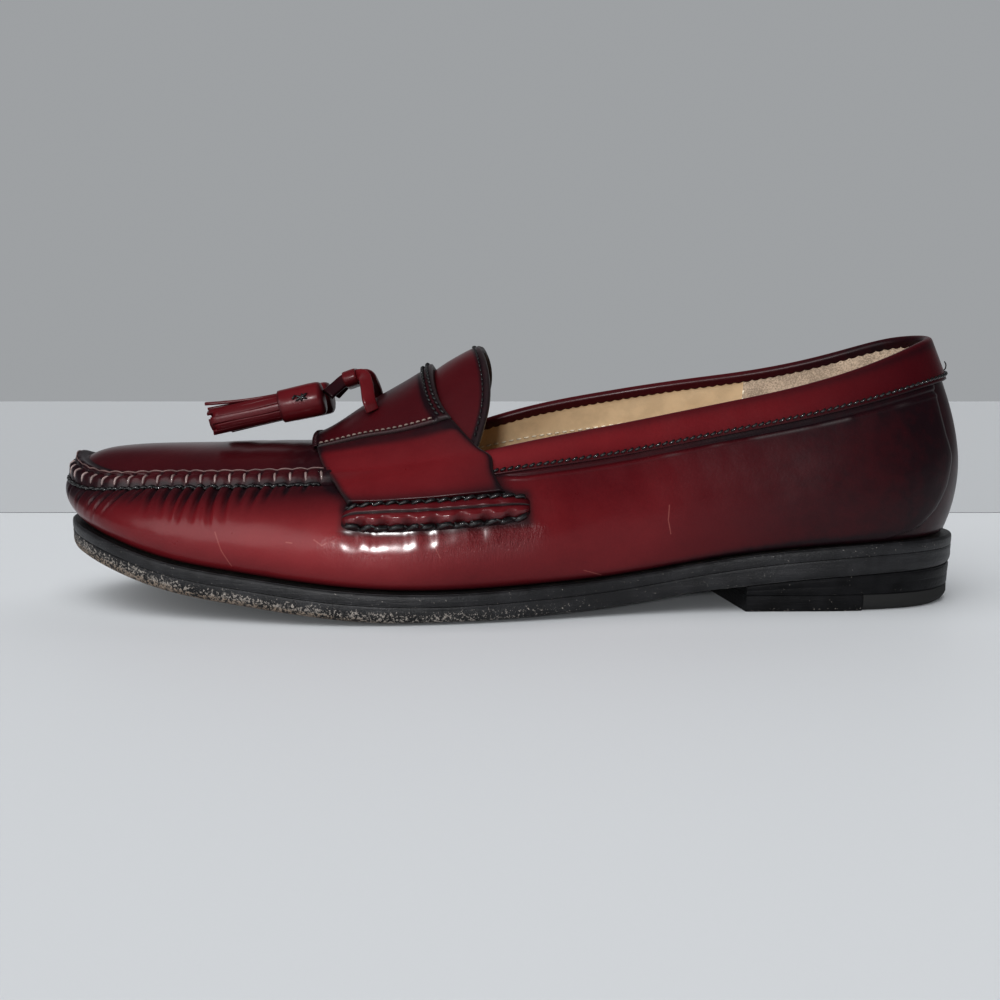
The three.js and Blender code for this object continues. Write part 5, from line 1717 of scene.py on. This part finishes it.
def build_keeper(last, sizes, colours):
    """Keeper: an oval leather band round both laces, its edges rounded."""
    high = LACE_SWELL * sizes.lace_width / 2 + 0.7 * MM
    angle = np.arange(72) * TURN / 72
    apart = np.sign(np.sin(angle)) * KEEPER_SPREAD
    inside = np.stack([np.cos(angle) * high * KEEPER_FLATNESS, np.sin(angle) * high + apart], -1)
    way = unit(inside)
    loop = np.linspace(0, TURN, 22)[:-1]
    radial = KEEPER_WALL / 2 * (1 + squared(np.cos(loop)))
    forward = sizes.knot_length / 2 * squared(np.sin(loop))
    across = inside[:, None] + way[:, None] * radial[None, :, None]
    at = np.array(KNOT_AT) * MM
    axis = unit(np.array(KNOT_TOWARDS) * MM - at)
    side_way = np.array([0.0, 1.0, 0.0])
    up_way = unit(np.cross(axis, side_way))
    points = at + across[..., 0:1] * up_way + across[..., 1:2] * side_way + forward[None, :, None] * axis
    piece = Piece("lace_knot")
    piece.skin([(points, False, True, True, {"burn": 0.35, "glow": 0.35})])
    return piece.cut(last, colours, "dark_leather", "lace_knot")


def tassel_frame(side):
    """Top of a tassel and its three axes: down its length, across it and up from it."""
    top = np.array(TASSEL_TOP) * (1, -side, 1) * MM
    tip = np.array(TASSEL_TIP) * (1, -side, 1) * MM
    axis = unit(tip - top)
    aside = unit(np.cross(axis, [0.0, 0.0, 1.0]))
    return top, axis, aside, np.cross(aside, axis)


def build_tassels(last, sizes, colours):
    """Tassels: a wrapped cap with its stitch, and a fringe of cut strips with uneven ends."""
    made = []
    for side, side_name in SIDES:
        top, axis, aside, up = tassel_frame(side)
        rng = np.random.default_rng(70 + side)

        def place(a, r, angle):
            """Point at a distance down the tassel's axis, a radius and an angle round it."""
            radial = aside * np.cos(angle)[..., None] + up * np.sin(angle)[..., None]
            return top + axis * a[..., None] + radial * r[..., None]

        piece = Piece(f"tassel_{side_name}")
        angle = np.arange(CAP_SIDES)[None, :] * TURN / CAP_SIDES
        along, radius = np.array(CAP_SECTION)[..., None]
        wrapped = (radius > 0.9) * (0.5 * np.mod(angle - 0.35, TURN) / TURN - 0.25) * MM
        burn = 0.55 * hump(along - 0.02, 0.06) + 0.6 * hump(along - 1.0, 0.05)
        piece.loop(place(along * sizes.cap_length, radius * sizes.cap_radius + wrapped, angle),
                   burn=burn, glow=0.22)
        core = by_row(0.9 * sizes.cap_length, 0.86 * sizes.tassel_length, 6)
        rings = place(core, np.full(core.shape, sizes.fringe_radius - 2.2 * MM), angle)
        # Near-black core inside the fringe: painted shade between the strips
        piece.loop(capped(rings), burn=0.9, glow=0.0)
        for layer, count, reach in FRINGE_LAYERS:
            for i in range(count):
                at = TURN * (i + 0.5 * layer) / count + rng.uniform(-0.08, 0.08)
                wide = TURN * sizes.fringe_radius / count * rng.uniform(0.86, 1.02)
                end = sizes.tassel_length - rng.uniform(0.0, 2.4) * MM
                lift = rng.uniform(-0.25, 0.35) * MM
                if layer == 0 and i == TASSEL_LOOSE:
                    lift = 2.2 * MM
                u = np.linspace(0, 1, 14)
                run = 0.88 * sizes.cap_length + u * (end - 0.88 * sizes.cap_length)
                out = sizes.fringe_radius - 0.55 * MM + reach * MM + lift * u ** 2
                twist = at + rng.uniform(-0.12, 0.12) * u + 0.04 * np.sin(5 * u + i)
                path = place(run, out, twist)
                wide_way = unit(np.cross(axis, path - (top + axis * run[:, None])))
                rings = carried(path, wide_way, strap_section(wide, 0.95 * MM, 12)[None])
                # Inner layer darker than the outer by painted shade under it; each strip's tone differs at
                # random
                piece.loop(capped(rings), burn=0.12 + 0.25 * layer + rng.uniform(0, 0.18), glow=0.20)
        made.append(piece.cut(last, colours, "leather", piece.name))
        build_cap_stitch(last, sizes, colours, place, side, side_name)
    return made


def build_cap_stitch(last, sizes, colours, place, side, side_name):
    """Cross-stitch that closes a tassel's cap, on the side that faces out."""
    thread = Piece(f"cap_stitch_{side_name}")
    facing = 2.72 if side < 0 else 0.30
    start, end = np.moveaxis(np.array(CAP_STITCHES), 1, 0)[..., None]
    u = np.linspace(0, 1, 7)
    along, turned = np.moveaxis(start + (end - start) * u, 1, 0)
    radius = sizes.cap_radius + 0.25 * MM + 0.3 * MM * np.sin(np.pi * u)
    paths = place(along * MM, radius, facing + turned)
    outward = place(np.zeros(1), np.ones(1), np.array([facing + 0.2])) - place(*np.zeros((3, 1)))
    ups = unit(paths - paths.mean((0, 1)) + outward * 6 * MM)
    thread.copies(strands(paths, ups, 0.36 * MM))
    thread.sew(last, colours, "black_thread")


# Sole and heel

def sole_layer(piece, last, inward, shares, bottom, top, wear, start=0.0, end=1.0, skewed=False, seat=None):
    """Layer between two surfaces: rows up its edge, each moved inward, then flat faces across.

    The plan at a place and a share across lies on the line between the two sides' edges; wear is a
    function of the distance along the shoe and the share of the height.
    """
    run = np.linspace(0, 1, 240)
    place = start + (end - start) * (run - 0.04 * np.sin(TURN * run))
    across = np.sin(np.linspace(-1, 1, 15) * np.pi / 2)
    skew = BREAST_SKEW * (1 - place) / (1 - BREAST) if skewed else 0 * place

    def sheet(inset, share):
        """Plan moved inward, at a share of the height between bottom and top."""
        outer_turn, inner_turn = place / 2, 1 - (place - skew) / 2
        extra = (seat(outer_turn), seat(inner_turn)) if seat else (0 * place, 0 * place)
        a = last.edge(outer_turn, inset + extra[0])[:, None]
        b = last.edge(inner_turn, inset + extra[1])[:, None]
        plan = a + (b - a) * ((across + 1) / 2)[None, :, None]
        rim = np.where((place == 0) | (place == 1), 1.0, 0.0)[:, None]
        level = np.maximum(np.abs(across)[None, :], rim)
        low, high = bottom(plan[..., 0], level), top(plan[..., 0], level)
        return np.concatenate([plan, (low + (high - low) * share)[..., None]], -1)

    def around(grid):
        """Rim of a sheet, once round."""
        return np.concatenate([grid[0, :-1], grid[:-1, -1], grid[-1, :0:-1], grid[:0:-1, 0]])

    sheets = [sheet(inset, share) for inset, share in zip(inward, shares)]
    wall = np.stack([around(grid) for grid in sheets])
    grids = ((sheets[0], True, False, 0.0), (sheets[-1], False, False, 1.0),
             (wall, True, True, np.array(shares)[:, None]))
    piece.skin([(grid, flipped, False, wrapped, {"wear": wear(grid[..., 0], height)})
                for grid, flipped, wrapped, height in grids])


def build_sole(last, sizes, colours):
    """Outsole with a rough edge, smooth midsole, and the heel's lift and top piece."""
    breast_x = float(last.outline(BREAST / 2)[0])
    half = sizes.length / 2

    def tread(x):
        """Walking face: the sole's line, worn flat at the ball."""
        return np.maximum(0, last.sole_line(x) - BALL_FLAT)

    def outsole_bottom(x, across):
        """Walking face, lifted at its rim ahead of the heel by the square of the way to the edge."""
        lifted = 1 - slope(x - breast_x, -20, 20)
        return tread(x) + EDGE_LIFT * lifted * np.maximum(0, (across - 0.6) / 0.4) ** 2

    def outsole_top(x, across=0.0):
        """The sole's line raised by the outsole's thickness."""
        return last.sole_line(x) + sizes.outsole

    def edge_wear(x, height):
        """Most at the toe, fading towards the heel's breast, and reaching less high further back."""
        fading = (1 - 0.97 * ramp(x, -0.45 * half, 0.75 * half)) * (1 - ramp(x, breast_x, 12 * MM))
        reach = 0.80 + 0.35 * smooth((-0.45 * half - x) / (0.4 * half))
        return fading * (1 - ramp(height, reach * 0.2, reach))

    def heel_wear(x, height):
        """A little wear along the lowest part of the heel."""
        return 0.18 * (1 - smooth(height / 0.3)) + 0 * x

    def flat(level):
        """A surface, or a wear, of the same value everywhere."""
        return lambda x, across: level + 0 * x

    black, dark = sole_edge_material(colours), sole_edge_material(colours, "heel_edge")
    rubber = plain_material("heel_rubber", colours.rubber, 0.62, 0.6 * MM, 0.12 * MM)
    rows = (
        # name, material, inward in mm, shares of the height, bottom, top, wear, more
        ("outsole", black, (1.3, 0.6, 0.25, 0.1, 0.15, 0.1, 0.05, 0.25),
         (0, 0.1, 0.25, 0.45, 0.65, 0.85, 0.95, 1), outsole_bottom, outsole_top, edge_wear, {}),
        ("midsole", black, (0.25, 0.12, 0.05, 0, 0, 0.1, 0.4, 0.8),
         (0, 0.07, 0.18, 0.35, 0.7, 0.86, 0.96, 1),
         lambda x, across: outsole_top(x) + 0.12 * MM, lambda x, across: last.sole_top(x), flat(0.02), {}),
        ("heel_lift", dark, (1.1, 0.9, 0.85, 0.8, 0.9, 0.75, 0.6, 0.6, 0.9),
         (0, 0.08, 0.25, 0.45, 0.5, 0.55, 0.8, 0.95, 1), flat(sizes.top_piece + 0.12 * MM),
         lambda x, across: tread(x) - 0.12 * MM, flat(0.0), {"start": BREAST, "skewed": True}),
        ("heel_top_leather", dark, (1.7, 1.2, 1.0, 1.0, 1.0, 1.15), (0, 0.1, 0.25, 0.7, 0.93, 1), flat(0.0),
         flat(sizes.top_piece), heel_wear, {"start": BREAST, "end": RUBBER_EDGE, "skewed": True}),
        ("heel_top_rubber", rubber, (3.0, 2.1, 1.2, 1.0, 1.0, 1.15), (0, 0.12, 0.38, 0.5, 0.93, 1), flat(0.0),
         flat(sizes.top_piece), heel_wear,
         {"start": RUBBER_EDGE + sizes.gap / last.edge_length, "skewed": True}),
    )
    for name, material, inward, shares, bottom, top, wear, more in rows:
        layer = Piece(name)
        sole_layer(layer, last, np.array(inward) * MM, shares, bottom, top, wear, **more)
        layer.make(last, material, replaces=[name])


def build_insole(last, sizes, colours):
    """Insole covered with sock leather."""
    def ledge(turn):
        """How far the insole's edge lies inside the sole's: ledge, wall and half a gap."""
        return last.columns(turn)[..., 0] + sizes.wall + 0.5 * sizes.gap

    layer = Piece("insole")
    sole_layer(layer, last, np.array([0.8, 0.2, 0.0, 0.3, 0.9]) * MM, [0, 0.2, 0.5, 0.85, 1.0],
               lambda x, across: last.sole_top(x) + sizes.gap,
               lambda x, across: last.sole_top(x) + sizes.gap + sizes.insole,
               wear=lambda x, height: 0 * x, seat=ledge)
    sock = plain_material("sock_leather", colours.sock, 0.5, 1.1 * MM, 0.06 * MM, spread=0.1)
    layer.make(last, sock, replaces=["insole"])


# Stage

def build_stage(last, sizes, colours):
    """Floor, world and lights.

    The floor is made of strips: pale to the wall's foot, a dark joint, and then the wall's tone. The
    world is pale by the share of PALE_SIDE in its direction.
    """
    scene = bpy.context.scene
    mesh = bpy.data.meshes.new("floor")
    corners = [(x, y, 0) for y in FLOOR_STRIPS for x in (-FLOOR_REACH, FLOOR_REACH)]
    mesh.from_pydata(corners, [], [(0, 1, 3, 2), (2, 3, 5, 4), (4, 5, 7, 6)])
    floor = bpy.data.objects.new("floor", mesh)
    scene.collection.objects.link(floor)
    for name, share, rough, gloss in FLOOR_PAINTS:
        board = new_board(name)
        board.set(base_color=shade(colours.floor, share), roughness=rough, specular_ior_level=gloss)
        mesh.materials.append(board.material)
    mesh.polygons.foreach_set("material_index", (0, 1, 2))
    world = bpy.data.worlds.new("studio")
    sky = Board(world)
    way = sky.node("ShaderNodeTexCoord", output="Generated")
    toward = sky.vector("DOT_PRODUCT", way, PALE_SIDE, "Value")
    sky.set(color=sky.mix(sky.step(toward, PALE_FROM, PALE_BY), WORLD_DARK, WORLD_PALE), strength=1.0)
    scene.world = world
    for name, at, power, spread, glossy in LAMPS:
        lamp = bpy.data.lights.new(name, "SUN")
        lamp.angle = math.radians(spread)
        lamp.energy = power
        holder = bpy.data.objects.new(name, lamp)
        scene.collection.objects.link(holder)
        holder.location = at
        holder.rotation_euler = mathutils.Vector(at).to_track_quat("Z", "Y").to_euler()
        holder.visible_glossy = glossy
    scene.view_settings.view_transform = "Standard"
    scene.view_settings.look = "Medium High Contrast"


def build_camera(last, sizes, colours):
    """Camera of the photo: 36 mm lens, low beside the outer side, looking down a little."""
    lens = bpy.data.cameras.new("photo_camera")
    lens.lens = CAMERA_LENS
    lens.sensor_width = CAMERA_LENS
    lens.clip_start = CAMERA_NEAR
    camera = bpy.data.objects.new("photo_camera", lens)
    bpy.context.scene.collection.objects.link(camera)
    camera.location = np.array(CAMERA_AT) * MM + last.shift
    camera.rotation_euler = (math.radians(90 - CAMERA_DOWN), 0, 0)
    bpy.context.scene.camera = camera


# Operators, one for each group of pieces

class LOAFER_OT_camera(bpy.types.Operator):
    """Put the camera where the photo was taken"""

    bl_idname = "loafer.camera"
    bl_label = "Camera"

    def execute(self, context):
        return make_each(context, build_camera)


class LOAFER_OT_laces(bpy.types.Operator):
    """Make the laces, their keeper and both tassels"""

    bl_idname = "loafer.laces"
    bl_label = "Laces and Tassels"

    def execute(self, context):
        return make_each(context, build_laces_and_tassels)


class LOAFER_OT_upper(bpy.types.Operator):
    """Make the vamp and quarters with the gathered seam, the plug and the backstay"""

    bl_idname = "loafer.upper"
    bl_label = "Upper"

    def execute(self, context):
        return make_each(context, build_vamp_and_quarters, build_plug, build_backstay)


class LOAFER_OT_collar(bpy.types.Operator):
    """Make the collar band, the lining and the insole"""

    bl_idname = "loafer.collar"
    bl_label = "Collar and Lining"

    def execute(self, context):
        return make_each(context, build_collar_band, build_lining, build_insole)


class LOAFER_OT_saddle(bpy.types.Operator):
    """Make the tongue, the side straps, the centre panel and the beef rolls"""

    bl_idname = "loafer.saddle"
    bl_label = "Saddle"

    def execute(self, context):
        return make_each(context, build_tongue, build_straps, build_panel, build_beef_rolls)


class LOAFER_OT_sole(bpy.types.Operator):
    """Make the layers of the sole and heel"""

    bl_idname = "loafer.sole"
    bl_label = "Sole and Heel"

    def execute(self, context):
        return make_each(context, build_sole)


class LOAFER_OT_stage(bpy.types.Operator):
    """Make the floor, the world and the lights"""

    bl_idname = "loafer.stage"
    bl_label = "Stage"

    def execute(self, context):
        return make_each(context, build_stage)


OPERATORS = (LOAFER_OT_camera, LOAFER_OT_laces, LOAFER_OT_upper, LOAFER_OT_collar, LOAFER_OT_saddle,
             LOAFER_OT_sole, LOAFER_OT_stage)


class LOAFER_PT_parts(bpy.types.Panel):
    """Lists the loafer's parts in the sidebar"""

    bl_label = "Tassel Loafer"
    bl_idname = "LOAFER_PT_parts"
    bl_space_type = "VIEW_3D"
    bl_region_type = "UI"
    bl_category = "Loafer"

    def draw(self, context):
        for operator in OPERATORS:
            self.layout.operator(operator.bl_idname)


CLASSES = (LoaferSizes, LoaferColours, *OPERATORS, LOAFER_PT_parts)


def register():
    """Registers the classes and hangs the sizes and colours on the scene."""
    for cls in CLASSES:
        bpy.utils.register_class(cls)
    bpy.types.Scene.loafer_sizes = bpy.props.PointerProperty(type=LoaferSizes)
    bpy.types.Scene.loafer_colours = bpy.props.PointerProperty(type=LoaferColours)


def unregister():
    """Takes back what register does, in reverse."""
    del bpy.types.Scene.loafer_sizes
    del bpy.types.Scene.loafer_colours
    for cls in reversed(CLASSES):
        bpy.utils.unregister_class(cls)


def main():
    register()
    for operator in OPERATORS:
        family, name = operator.bl_idname.split(".")
        getattr(getattr(bpy.ops, family), name)()


if __name__ == "__main__":
    main()
